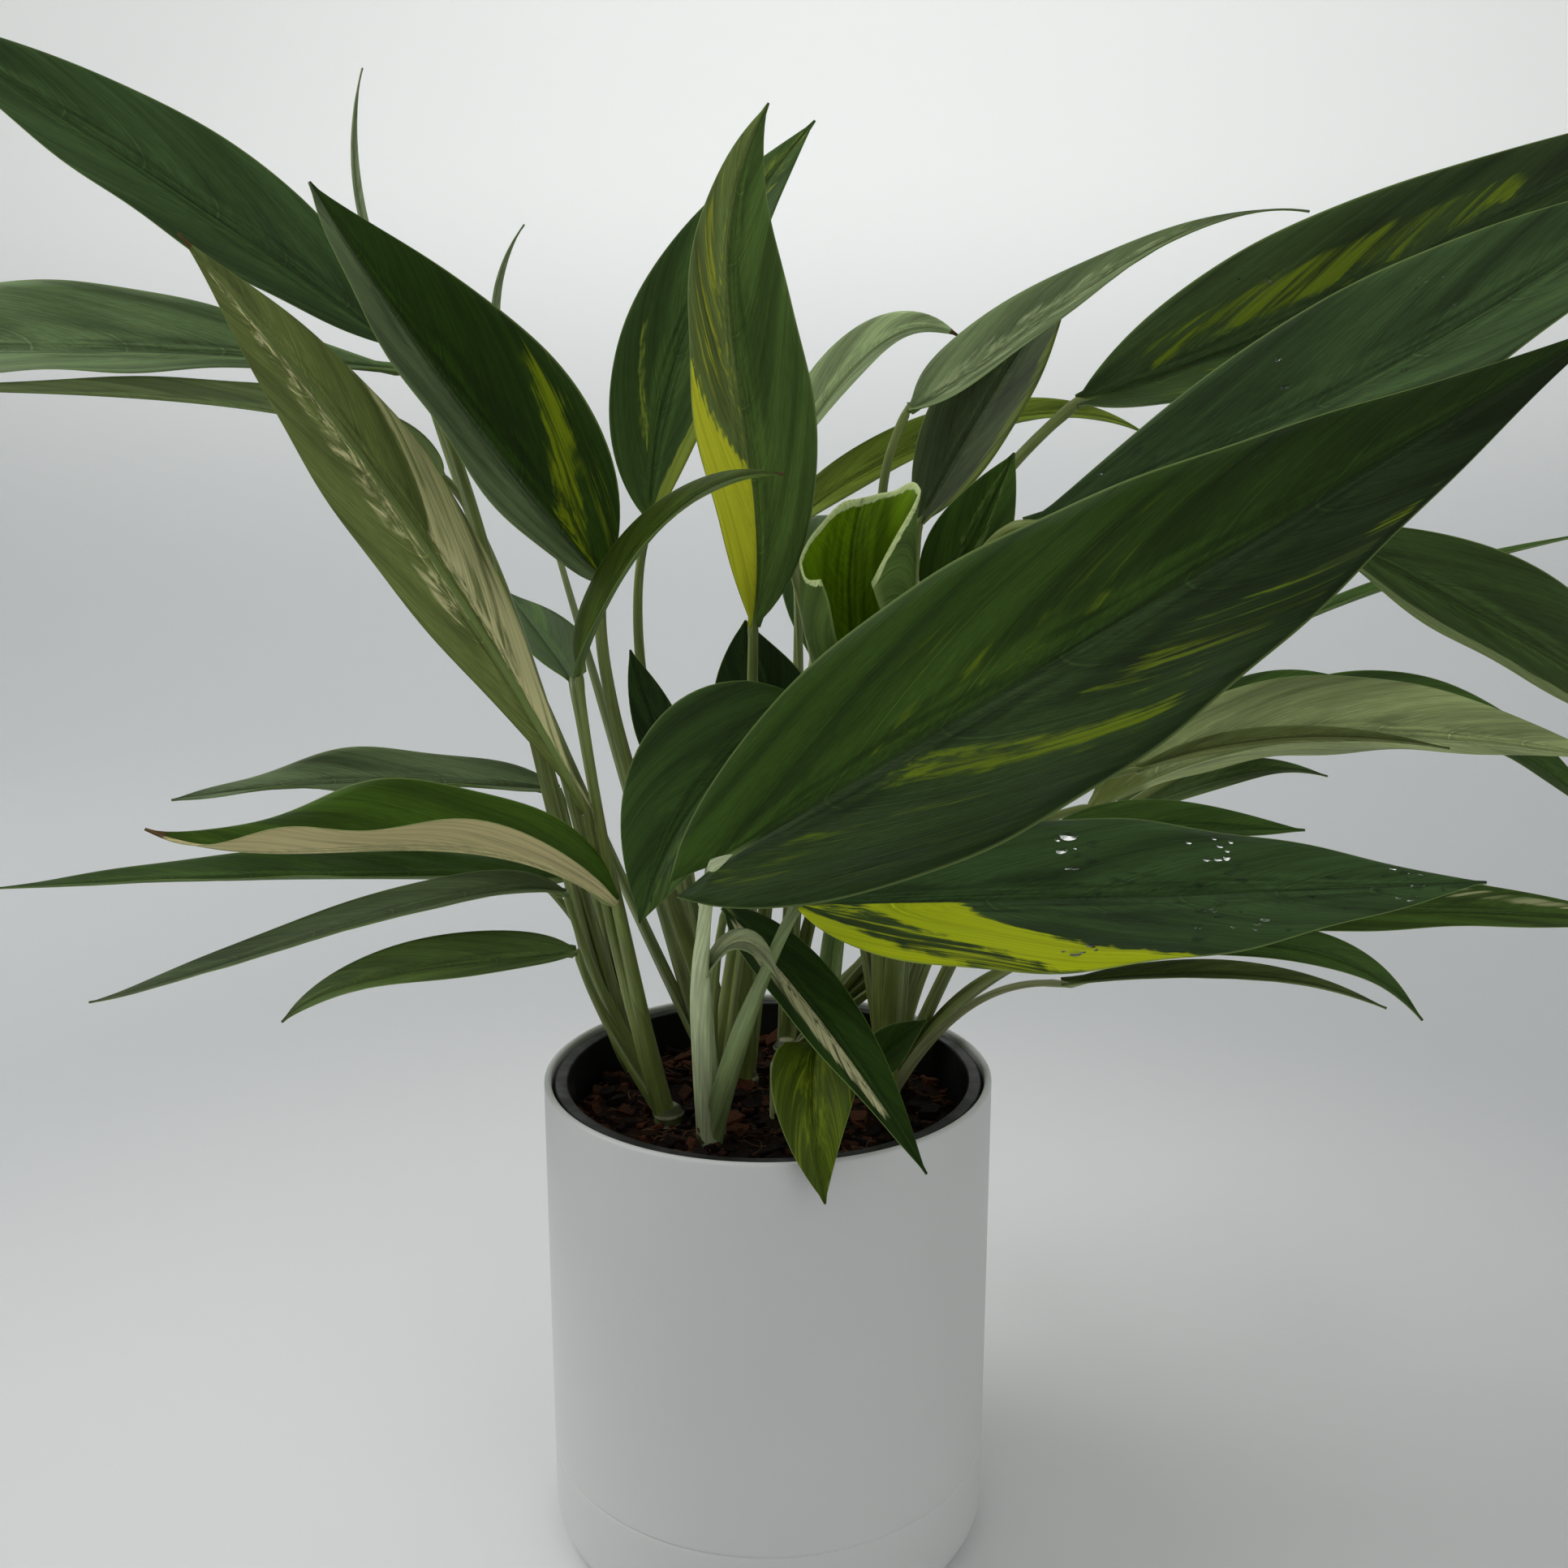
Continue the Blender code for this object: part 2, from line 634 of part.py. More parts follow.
def main():
    for old in list(bpy.data.objects):
        bpy.data.objects.remove(old)
    collection = collection_for("potted_pothos")
    outer_pot(collection, material_of("outer_pot"))
    grow_pot(collection, material_of("grow_pot"))
    soil(collection, material_of("soil"))
    stub = upright(
        "cut_stub", STUB_PLACE, SOIL_TOP - STEM_DEPTH, SOIL_TOP + STUB_RISE, STUB_RADIUS, 0.8 * STUB_RADIUS,
        collection, sides=10,
    )
    finish(stub, material_of("cut_stub"))
    leaf_material = material_of("leaf")
    for name, stem in LEAFY_STEMS.items():
        leafy_stem(name, stem, collection, leaf_material)


main()
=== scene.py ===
"""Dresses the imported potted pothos: fine leaves, stalks and pots, soil chips, water drops, light and camera.

Metres, +Z up, in the frame's own coordinates. Places on the plant and the pots are in millimetres, as in the
part's source, and become metres when a mesh is made. The front looks along -Y.
"""

import math
from collections import namedtuple

import bpy
import numpy as np
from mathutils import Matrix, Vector


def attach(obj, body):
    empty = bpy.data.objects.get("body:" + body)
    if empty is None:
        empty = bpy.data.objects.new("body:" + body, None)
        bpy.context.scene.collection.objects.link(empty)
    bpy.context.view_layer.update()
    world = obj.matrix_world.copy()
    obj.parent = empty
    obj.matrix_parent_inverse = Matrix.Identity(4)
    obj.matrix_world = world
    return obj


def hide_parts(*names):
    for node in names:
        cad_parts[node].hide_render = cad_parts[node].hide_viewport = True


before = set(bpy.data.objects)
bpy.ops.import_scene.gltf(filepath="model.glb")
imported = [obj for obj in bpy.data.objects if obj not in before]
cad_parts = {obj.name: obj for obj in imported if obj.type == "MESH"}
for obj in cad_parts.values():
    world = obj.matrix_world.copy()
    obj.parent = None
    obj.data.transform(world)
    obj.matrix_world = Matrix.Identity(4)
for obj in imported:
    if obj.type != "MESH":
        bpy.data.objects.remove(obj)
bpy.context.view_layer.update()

MM = 0.001
FULL_TURN = 2.0 * math.pi
PLANT_SEED = 7
CHIP_SEED = 21
FIBRE_SEED = 22
DROP_SEED = 5
GRAIN_SPREAD = 100.0  # how far apart the leaves and stalks may lie in the materials' noise

# The camera, where the photograph was taken from
CAMERA_PLACE = (0.005, -0.449, 0.330)
CAMERA_DOWN_DEGREES = 11.2
CAMERA_LENS = 34.53

# Light and the stage, in metres
STAGE_FLAT_RADIUS = 1.5
STAGE_CORNER_RADIUS = 1.4
STAGE_TOP = 3.2
STAGE_STEPS = 128
STAGE_SUNK = 0.0002  # how far the floor lies below the pot's foot
STAGE_CORNER_STEPS = 16
# Painted light and shade on the stage's paper: lighter near the camera and up the wall, darker on the floor
# between
STAGE_NEAR_PAINTED_LIGHT = (0.78, 0.79, 0.79, 1.0)
STAGE_FLOOR_PAINTED_SHADE = (0.55, 0.565, 0.57, 1.0)
STAGE_WALL_PAINTED_LIGHT = (0.90, 0.915, 0.90, 1.0)
STAGE_PAINTED_REACH = (0.12, 0.6)
STAGE_PAINTED_HEIGHTS = (0.1, 1.0)
WORLD_STRENGTH = 0.41
LIGHT_AIM = (0.0, 0.0, 0.22)
BACKDROP_AIM = (0.0, 2.9, 1.1)

# A studio light: where it stands and points, its width, its power in watts and the degrees it spreads over
Light = namedtuple("Light", "place aim size power spread")
LIGHTS = {
    "key": Light((-1.2, 0.2, 1.5), LIGHT_AIM, 1.5, 17.2, 180),
    "front": Light((0.9, -1.1, 0.9), LIGHT_AIM, 1.2, 2.8, 180),
    "backdrop": Light((0.0, 0.9, 2.6), BACKDROP_AIM, 1.8, 17.5, 130),
}

# Outer pot
POT_RADIUS = 70.0
POT_HEIGHT = 150.0
POT_WALL = 2.2
POT_FLOOR = 3.0
POT_FOOT_ROUND = 8.0
POT_LIP_ROUND = 1.0
POT_GROOVE_HEIGHT = 29.0
POT_GROOVE_DEPTH = 0.4
POT_GROOVE_HALF_WIDTH = 0.5
TURN_STEPS = 192
ARC_STEPS = 8

# Grow pot
GROW_RIM_RADIUS = 66.8
GROW_RIM_TOP = 148.7
GROW_RIM_WIDTH = 4.0
GROW_RIM_SKIRT = 7.0
GROW_WALL = 1.2
GROW_FOOT_RADIUS = 50.0
GROW_FOOT = 3.3
GROW_FLOOR_UNDER = 5.3
GROW_FLOOR_TOP = 6.7
GROW_FOOT_RING = 8.0
GROW_EDGE_ROUND = 0.6
GROW_FLOOR_MIDDLE = 6.0  # the radius of the flat faces that close the floor
DRAIN_HOLES = 6
DRAIN_HOLE_RADIUS = 3.5
DRAIN_CIRCLE_RADIUS = 32.0
DRAIN_SIDES = 24

# Soil
SOIL_TOP = 138.0
SOIL_FOOT = 7.0
SOIL_EDGE_DIP = 2.5
SOIL_FLAT_RADIUS = 54.0
SOIL_GAP = 0.3
SOIL_RINGS = 40
SOIL_LUMPS = 0.55  # height of the lumps
SOIL_SUNK = 0.9  # how far the surface lies below the solid's top
CHIPS = 520
CHIP_LENGTHS = (2.5, 8.5)
CHIP_BIAS = 1.8
CHIP_WIDTHS = (0.45, 0.9)  # as shares of the length, and so are the heights
CHIP_HEIGHTS = (0.2, 0.5)
CHIP_CORNER_REACH = (0.62, 1.15)
CHIP_LEAN = 0.5
CHIP_WEAR = 0.25
LITTER_EDGE_GAP = 3.5
FIBRES = 90
FIBRE_RADIUS = 0.22
FIBRE_STEPS = 9
FIBRE_BEND = 0.35
FIBRE_PACES = (0.8, 2.2)
FIBRE_EDGE_GAP = 2.5

# Leaf blades
BLADE_THICKNESS = 0.6
BLADE_TIP_HALF_WIDTH = 0.3
BLADE_BASE_HALF_WIDTH = 1.9
BLADE_STEP = 2.6  # length of one row of blade cells
BLADE_LEAST_ROWS = 14
BLADE_COLUMNS = 22
NARROW_COLUMNS = 14
NARROW_BLADE = 20.0
BROAD_BLADE = 50.0  # the width at which the ripple and the keel have their full size
MIDDLE_CROWD = 1.3  # above 1, the columns stand closer together at the midrib
VEIN_LEAN = 1.2  # how far a side vein runs towards the tip for each step outwards
VEIN_LEAN_GAIN = 2.2  # how much more it leans at the margin
VEIN_PITCH_SHARE = 0.14  # the main side veins' distance, as a share of the blade's length
VEIN_PITCH_LEAST = 9.0
HALVES_EDGE = 6.0  # how sharply the two halves' patterns part at the midrib
HALVES_SPREAD = 5.0  # how far apart the two halves lie in the materials' noise
VEIN_SHIFT = 0.19  # how far each half's veins stand from an even place, as a share of their distance
QUILT_SHARE = 0.006  # height of the swell between two veins, as a share of their distance
RIB_GROOVE_DEPTH = 0.5
RIB_GROOVE_WIDTH = 0.6
KEEL_DEPTH = 1.3
KEEL_WIDTHS = (0.7, 0.8)  # at the tip, and what the base adds
EDGE_RIPPLE = 0.8
RIPPLE_LENGTH = 46.0
TEAR_DEPTH = 9.0
TEAR_PITCHES = (5.0, 11.0, 23.0)

# Stalks and stems
STALK_SPREAD = 2.2
STALK_RISE = 1.0
STALK_BURIED = 9.0
STALK_STEP = 3.5
STALK_SIDES = 22
STALK_UNDER_BLADE = 0.07  # the share of the blade's length that the stalk's end runs under
STALK_FOOT_RADIUS = (1.6, 0.021)  # of every stalk, and what each millimetre of the blade's width adds
STALK_TOP_RADIUS = (0.85, 0.013)
JOINT_SWELL = 0.16  # the stalk's swell just below the blade
JOINT_PLACE = 0.965
JOINT_LENGTH = 0.025
SHEATH_END = 0.66
SHEATH_EDGE = 0.95  # radians from the middle of the stalk's channel
CHANNEL_WIDTH = 0.6
STEM_RADIUS = 4.6
STEM_DEPTH = 22.0
STEM_RISE = 4.0
STEM_RINGS = 26
STEM_RING_PACE = 1.9  # radians of the old leaves' rings to each millimetre
STUB_PLACE = (3.0, -7.0)
STUB_RADIUS = 2.8
STUB_RISE = 16.0
STUB_RINGS = 22

# One leaf. rib: points that the midrib passes evenly through, from the stalk to the tip. faces: where the
# upper side looks. via: points that the stalk passes between the stem and the blade. fold and curl: degrees
# that each half turns up at the rib and again across its width. widest: where along the blade. taper: how
# slim the tip is. lobe: how far the lobes reach back. wave: height of the waved edge. cut: the share of a
# torn blade that is left, and slant: how unevenly it is torn.
Leaf = namedtuple(
    "Leaf",
    "rib width faces via fold curl widest taper lobe wave cut slant",
    defaults=((), 18.0, 12.0, 0.38, 1.15, 0.0, 0.0, 1.0, 0.0),
)

# A leafy stem is one grown piece: a short stem in the soil, and its leaves. place: where it stands.
LeafyStem = namedtuple("LeafyStem", "place leaves")

LEAFY_STEMS = {
    "leafy_stem_front": LeafyStem((-17, -25), {
        "broad_front": Leaf(
            [(-13, -72, 234), (89, -84, 300), (192, -100, 367)], 69, (-0.35, -0.85, 0.3), [(-18, -48, 197)],
            fold=5, curl=4, widest=0.34, taper=1.3, lobe=13,
        ),
        "wet_right": Leaf(
            [(9, -52, 218), (98, -66, 224), (184, -78, 231)], 57, (-0.05, -0.5, 0.86), [(-3, -50, 190)],
            fold=5, curl=2, widest=0.36,
        ),
        "behind_broad": Leaf(
            [(9, -20, 270), (-19, -37, 244), (-35, -47, 211)], 46, (-0.3, -0.85, 0.4), [(-4, -12, 222)],
        ),
        "hanging_cream": Leaf(
            [(-12, -24, 209), (17, -54, 183), (42, -86, 155)], 22, (0.4, -0.8, 0.45), [(-16, -25, 178)],
        ),
        "dry_sheath": Leaf([(-17, -47, 196), (-6, -56, 208), (4, -62, 199)], 9, (0.0, -0.6, 0.8)),
    }),
    "leafy_stem_left": LeafyStem((-31, -12), {
        "folded_cream": Leaf(
            [(-43, -34, 213), (-86, -40, 230), (-128, -46, 231), (-168, -52, 239)], 40, (0.0, -0.2, 0.98),
            [(-38, -20, 175)], fold=46, curl=4, wave=2,
        ),
        "pale_underside": Leaf(
            [(-51, -30, 239), (-97, -46, 325), (-144, -60, 391)], 32, (-0.5, 0.75, 0.45), [(-44, -22, 193)],
            fold=20, widest=0.5, taper=1.4,
        ),
        "arching_front": Leaf(
            [(-51, -40, 280), (-41, -50, 301), (-22, -60, 324), (5, -70, 333)], 19, (-0.7, -0.45, 0.55),
            [(-46, -30, 227)], widest=0.3,
        ),
        "low_slender": Leaf(
            [(-63, 5, 205), (-101, -5, 205), (-157, -11, 190), (-205, -16, 177)], 19, (0.0, -0.3, 1.0),
            [(-52, 6, 171)],
        ),
        "low_short": Leaf(
            [(-58, -10, 191), (-87, -15, 189), (-120, -20, 185), (-144, -25, 174)], 22, (0.0, -0.4, 0.9),
            [(-50, -4, 166)],
        ),
    }),
    "leafy_stem_left_back": LeafyStem((-43, 24), {
        "long_low": Leaf(
            [(-65, 20, 206), (-153, 10, 209), (-234, -10, 211)], 26, (0.0, -0.15, 1.0), [(-57, 24, 167)],
        ),
        "dull_low": Leaf(
            [(-68, 30, 233), (-131, 22, 237), (-186, 10, 234)], 27, (0.0, -0.33, 0.93), [(-57, 28, 185)],
            wave=2,
        ),
        "upper_left": Leaf(
            [(-106, 0, 369), (-163, -10, 410), (-238, -20, 458)], 40, (0.25, -0.8, 0.55),
            [(-64, 18, 207), (-84, 8, 308)], widest=0.45,
        ),
        "level_left": Leaf(
            [(-110, 30, 365), (-209, 20, 370), (-305, 10, 366)], 46, (0.1, -0.68, 0.72),
            [(-63, 24, 206), (-88, 26, 307)], widest=0.55,
        ),
        "edge_on_left": Leaf(
            [(-104, 40, 333), (-155, 30, 353), (-275, 10, 358)], 30, (0.0, 0.04, 1.0),
            [(-60, 40, 203), (-82, 46, 284)], fold=24,
        ),
        "back_left_high": Leaf(
            [(-71, 86, 262), (-86, 116, 274), (-106, 150, 290)], 26, (0.1, -0.4, 0.9), [(-54, 44, 195)],
        ),
        "back_left_low": Leaf(
            [(-78, 44, 200), (-133, 72, 206), (-184, 98, 190)], 30, (-0.2, 0.2, 0.95), [(-56, 36, 172)],
        ),
    }),
    "leafy_stem_centre": LeafyStem((-8, 18), {
        "yellow_patch": Leaf(
            [(-45, -30, 304), (-81, -44, 352), (-111, -60, 403)], 56, (0.55, -0.75, 0.35), [(-41, -10, 247)],
            fold=34,
        ),
        "tall_folded": Leaf(
            [(-4, -10, 290), (-5, -16, 339), (-10, -24, 384), (1, -30, 428)], 42, (0.3, -0.95, 0.0),
            [(-5, 0, 245)], fold=30, widest=0.42,
        ),
        "tall_behind": Leaf(
            [(-37, 30, 319), (-24, 24, 378), (14, 16, 434)], 36, (-0.1, -0.95, 0.2), [(-38, 24, 254)],
            widest=0.42,
        ),
        "small_dark": Leaf(
            [(-29, 10, 241), (-36, 5, 262), (-41, 0, 282)], 16, (0.3, -0.9, 0.2), [(-25, 14, 203)],
        ),
        "round_dark": Leaf(
            [(3, 40, 246), (-4, 30, 269), (-7, 20, 289)], 34, (0.0, -0.95, 0.3), [(1, 30, 212)],
        ),
        "back_middle": Leaf(
            [(-12, 56, 212), (-16, 102, 244), (-12, 152, 240)], 36, (0.0, -0.1, 1.0), [(-12, 36, 184)],
        ),
    }),
    "leafy_stem_back_left": LeafyStem((-22, 42), {
        "thin_high": Leaf(
            [(-123, 90, 377), (-142, 100, 425), (-141, 110, 472)], 5, (0.8, -0.5, 0.1), [(-88, 80, 274)],
        ),
        "thin_mid": Leaf(
            [(-87, 90, 352), (-96, 96, 388), (-85, 100, 419)], 5, (0.8, -0.5, 0.1), [(-65, 80, 274)],
        ),
        "back_hanging": Leaf(
            [(-30, 88, 196), (-40, 136, 198), (-50, 180, 152)], 36, (-0.1, 0.3, 0.95), [(-26, 62, 174)],
        ),
        "back_left_hanging": Leaf(
            [(-40, 76, 188), (-62, 120, 176), (-78, 158, 132)], 32, (-0.4, 0.3, 0.85), [(-32, 56, 168)],
        ),
    }),
    "leafy_stem_front_right": LeafyStem((14, -22), {
        "young_rolled": Leaf(
            [(30, -10, 260), (24, -14, 298), (27, -18, 326)], 84, (0.1, -1.0, 0.15), [(22, -16, 211)],
            fold=10, curl=135, cut=0.6, slant=30,
        ),
        "hanging_lime": Leaf(
            [(14, -51, 177), (13, -66, 161), (16, -77, 142)], 26, (0.0, -0.95, 0.2), [(13, -32, 164)],
            widest=0.25,
        ),
        "small_low": Leaf(
            [(32, -11, 153), (39, -14, 163), (48, -18, 172)], 14, (0.0, -0.8, 0.6), [(24, -16, 148)],
        ),
    }),
    "leafy_stem_right": LeafyStem((38, 6), {
        "upper_right": Leaf(
            [(87, -15, 353), (164, -25, 382), (246, -35, 431)], 50, (-0.5, -0.8, 0.35),
            [(40, 0, 258), (60, -5, 321)], fold=26, widest=0.42,
        ),
        "dark_right": Leaf(
            [(68, -50, 320), (152, -60, 357), (225, -70, 407)], 46, (-0.3, -0.8, 0.55), [(48, -20, 273)],
            widest=0.5,
        ),
        "long_tailed": Leaf(
            [(41, 0, 352), (69, 2, 369), (111, 6, 397), (157, 10, 408)], 27, (-0.45, -0.6, 0.75),
            [(39, 6, 262), (34, 4, 318)], widest=0.3, taper=2.4,
        ),
        "folded_small": Leaf(
            [(47, -20, 294), (59, -24, 318), (68, -28, 339)], 24, (-0.2, -0.9, 0.2), [(47, 4, 250)],
        ),
        "low_behind_wet": Leaf(
            [(86, 0, 226), (124, -4, 228), (161, -10, 229)], 20, (0.0, -0.5, 0.85), [(70, 10, 204)],
        ),
        "low_dark_tip": Leaf(
            [(119, -27, 197), (161, -33, 197), (189, -37, 179)], 14, (0.3, -0.6, 0.7), [(72, 0, 181)],
        ),
        "low_thin": Leaf(
            [(84, -40, 191), (134, -48, 196), (172, -52, 188)], 10, (0.1, -0.3, 1.0), [(61, -12, 174)],
        ),
    }),
    "leafy_stem_right_back": LeafyStem((40, 27), {
        "grey_right": Leaf(
            [(47, 26, 319), (70, 24, 360), (92, 20, 393)], 30, (-0.3, -0.9, 0.3), [(45, 30, 266)], widest=0.4,
        ),
        "lime_arch": Leaf(
            [(3, 51, 314), (39, 64, 338), (85, 70, 353), (126, 66, 347)], 20, (0.0, -0.6, 0.75),
            [(17, 46, 264)],
        ),
        "far_right": Leaf(
            [(158, 4, 320), (195, -6, 300), (229, -20, 279), (258, -34, 253)], 40, (0.35, -0.85, 0.3),
            [(70, 24, 219), (119, 14, 277)], widest=0.5,
        ),
        "pale_right": Leaf(
            [(107, 40, 225), (160, 40, 246), (218, 40, 249), (278, 40, 242)], 46, (0.0, 0.75, 0.65),
            [(67, 36, 201)],
        ),
        "narrow_right": Leaf(
            [(118, 24, 241), (147, 20, 250), (179, 16, 253), (212, 12, 250)], 9, (0.0, -0.6, 0.8),
            [(71, 28, 210)],
        ),
        "low_right": Leaf(
            [(117, 4, 193), (190, -5, 202), (275, -15, 200)], 27, (0.0, -0.5, 0.85), [(79, 16, 178)],
        ),
    }),
    "leafy_stem_back": LeafyStem((6, 44), {
        "pale_arch": Leaf(
            [(3, 70, 335), (22, 68, 362), (42, 64, 379), (62, 60, 378)], 22, (-0.4, 0.6, 0.65),
            [(10, 60, 276)],
        ),
        "thin_far_right": Leaf(
            [(173, 88, 275), (229, 92, 297), (305, 96, 316)], 12, (0.0, -0.1, 1.0),
            [(82, 70, 214), (130, 80, 250)],
        ),
        "drooping_right": Leaf(
            [(152, 70, 235), (233, 76, 250), (312, 80, 200)], 30, (0.1, -0.7, 0.7), [(99, 60, 204)],
        ),
        "small_right": Leaf(
            [(145, 70, 249), (175, 70, 261), (206, 70, 263)], 16, (0.0, -0.4, 0.9), [(85, 60, 219)],
        ),
        "tailed_right": Leaf(
            [(121, 70, 217), (149, 70, 226), (173, 70, 232), (196, 70, 230)], 16, (0.0, -0.5, 0.85),
            [(77, 60, 196)], widest=0.3,
        ),
        "back_right": Leaf(
            [(40, 96, 232), (68, 136, 262), (98, 178, 262)], 36, (0.1, -0.35, 0.9), [(18, 62, 192)],
        ),
        "back_right_hanging": Leaf(
            [(14, 88, 200), (26, 134, 196), (36, 172, 150)], 36, (0.1, 0.4, 0.9), [(9, 60, 178)],
        ),
        "back_high": Leaf(
            [(16, 96, 270), (28, 140, 308), (50, 186, 306)], 40, (0.0, -0.3, 0.95), [(9, 64, 212)],
        ),
        "back_right_low": Leaf(
            [(80, 80, 192), (118, 112, 192), (152, 142, 156)], 34, (0.4, 0.3, 0.85), [(38, 62, 168)],
        ),
    }),
}

# A patch of pale colour on a leaf. side: 1 or -1 for one half of the blade, 0 for both. start and end: shares
# of the length, at the midrib. inner and outer: shares of the half width, from the midrib. amount: how pale
# it is. lean: how much further towards the tip the patch lies at the margin.
Patch = namedtuple("Patch", "side start end inner outer amount lean", defaults=(0.3,))
PATCH_SOFT_ENDS = 0.03
PATCH_SOFT_SIDES = 0.06

# How a leaf is coloured. green: its upper face, with far for the half at side 1 where that differs. The last
# field is painted shade: how much darker the upper face is painted towards the tip, where the blade turns away
# from the light. tint: its pale parts. under: its underside. mottle: how much it is streaked outside its
# patches.
# tip: the share of its length that is dry. stalk: its stalk.
LEAF_GREEN = (0.043, 0.088, 0.014)
PALE_GREEN = (0.11, 0.17, 0.03)
UNDER_GREEN = (0.12, 0.19, 0.05)
STALK_GREEN = (0.17, 0.215, 0.050)
Look = namedtuple(
    "Look",
    "green tint under patches mottle tip stalk far dim",
    defaults=(LEAF_GREEN, PALE_GREEN, UNDER_GREEN, (), 0.05, 0.0, STALK_GREEN, None, 0.0),
)

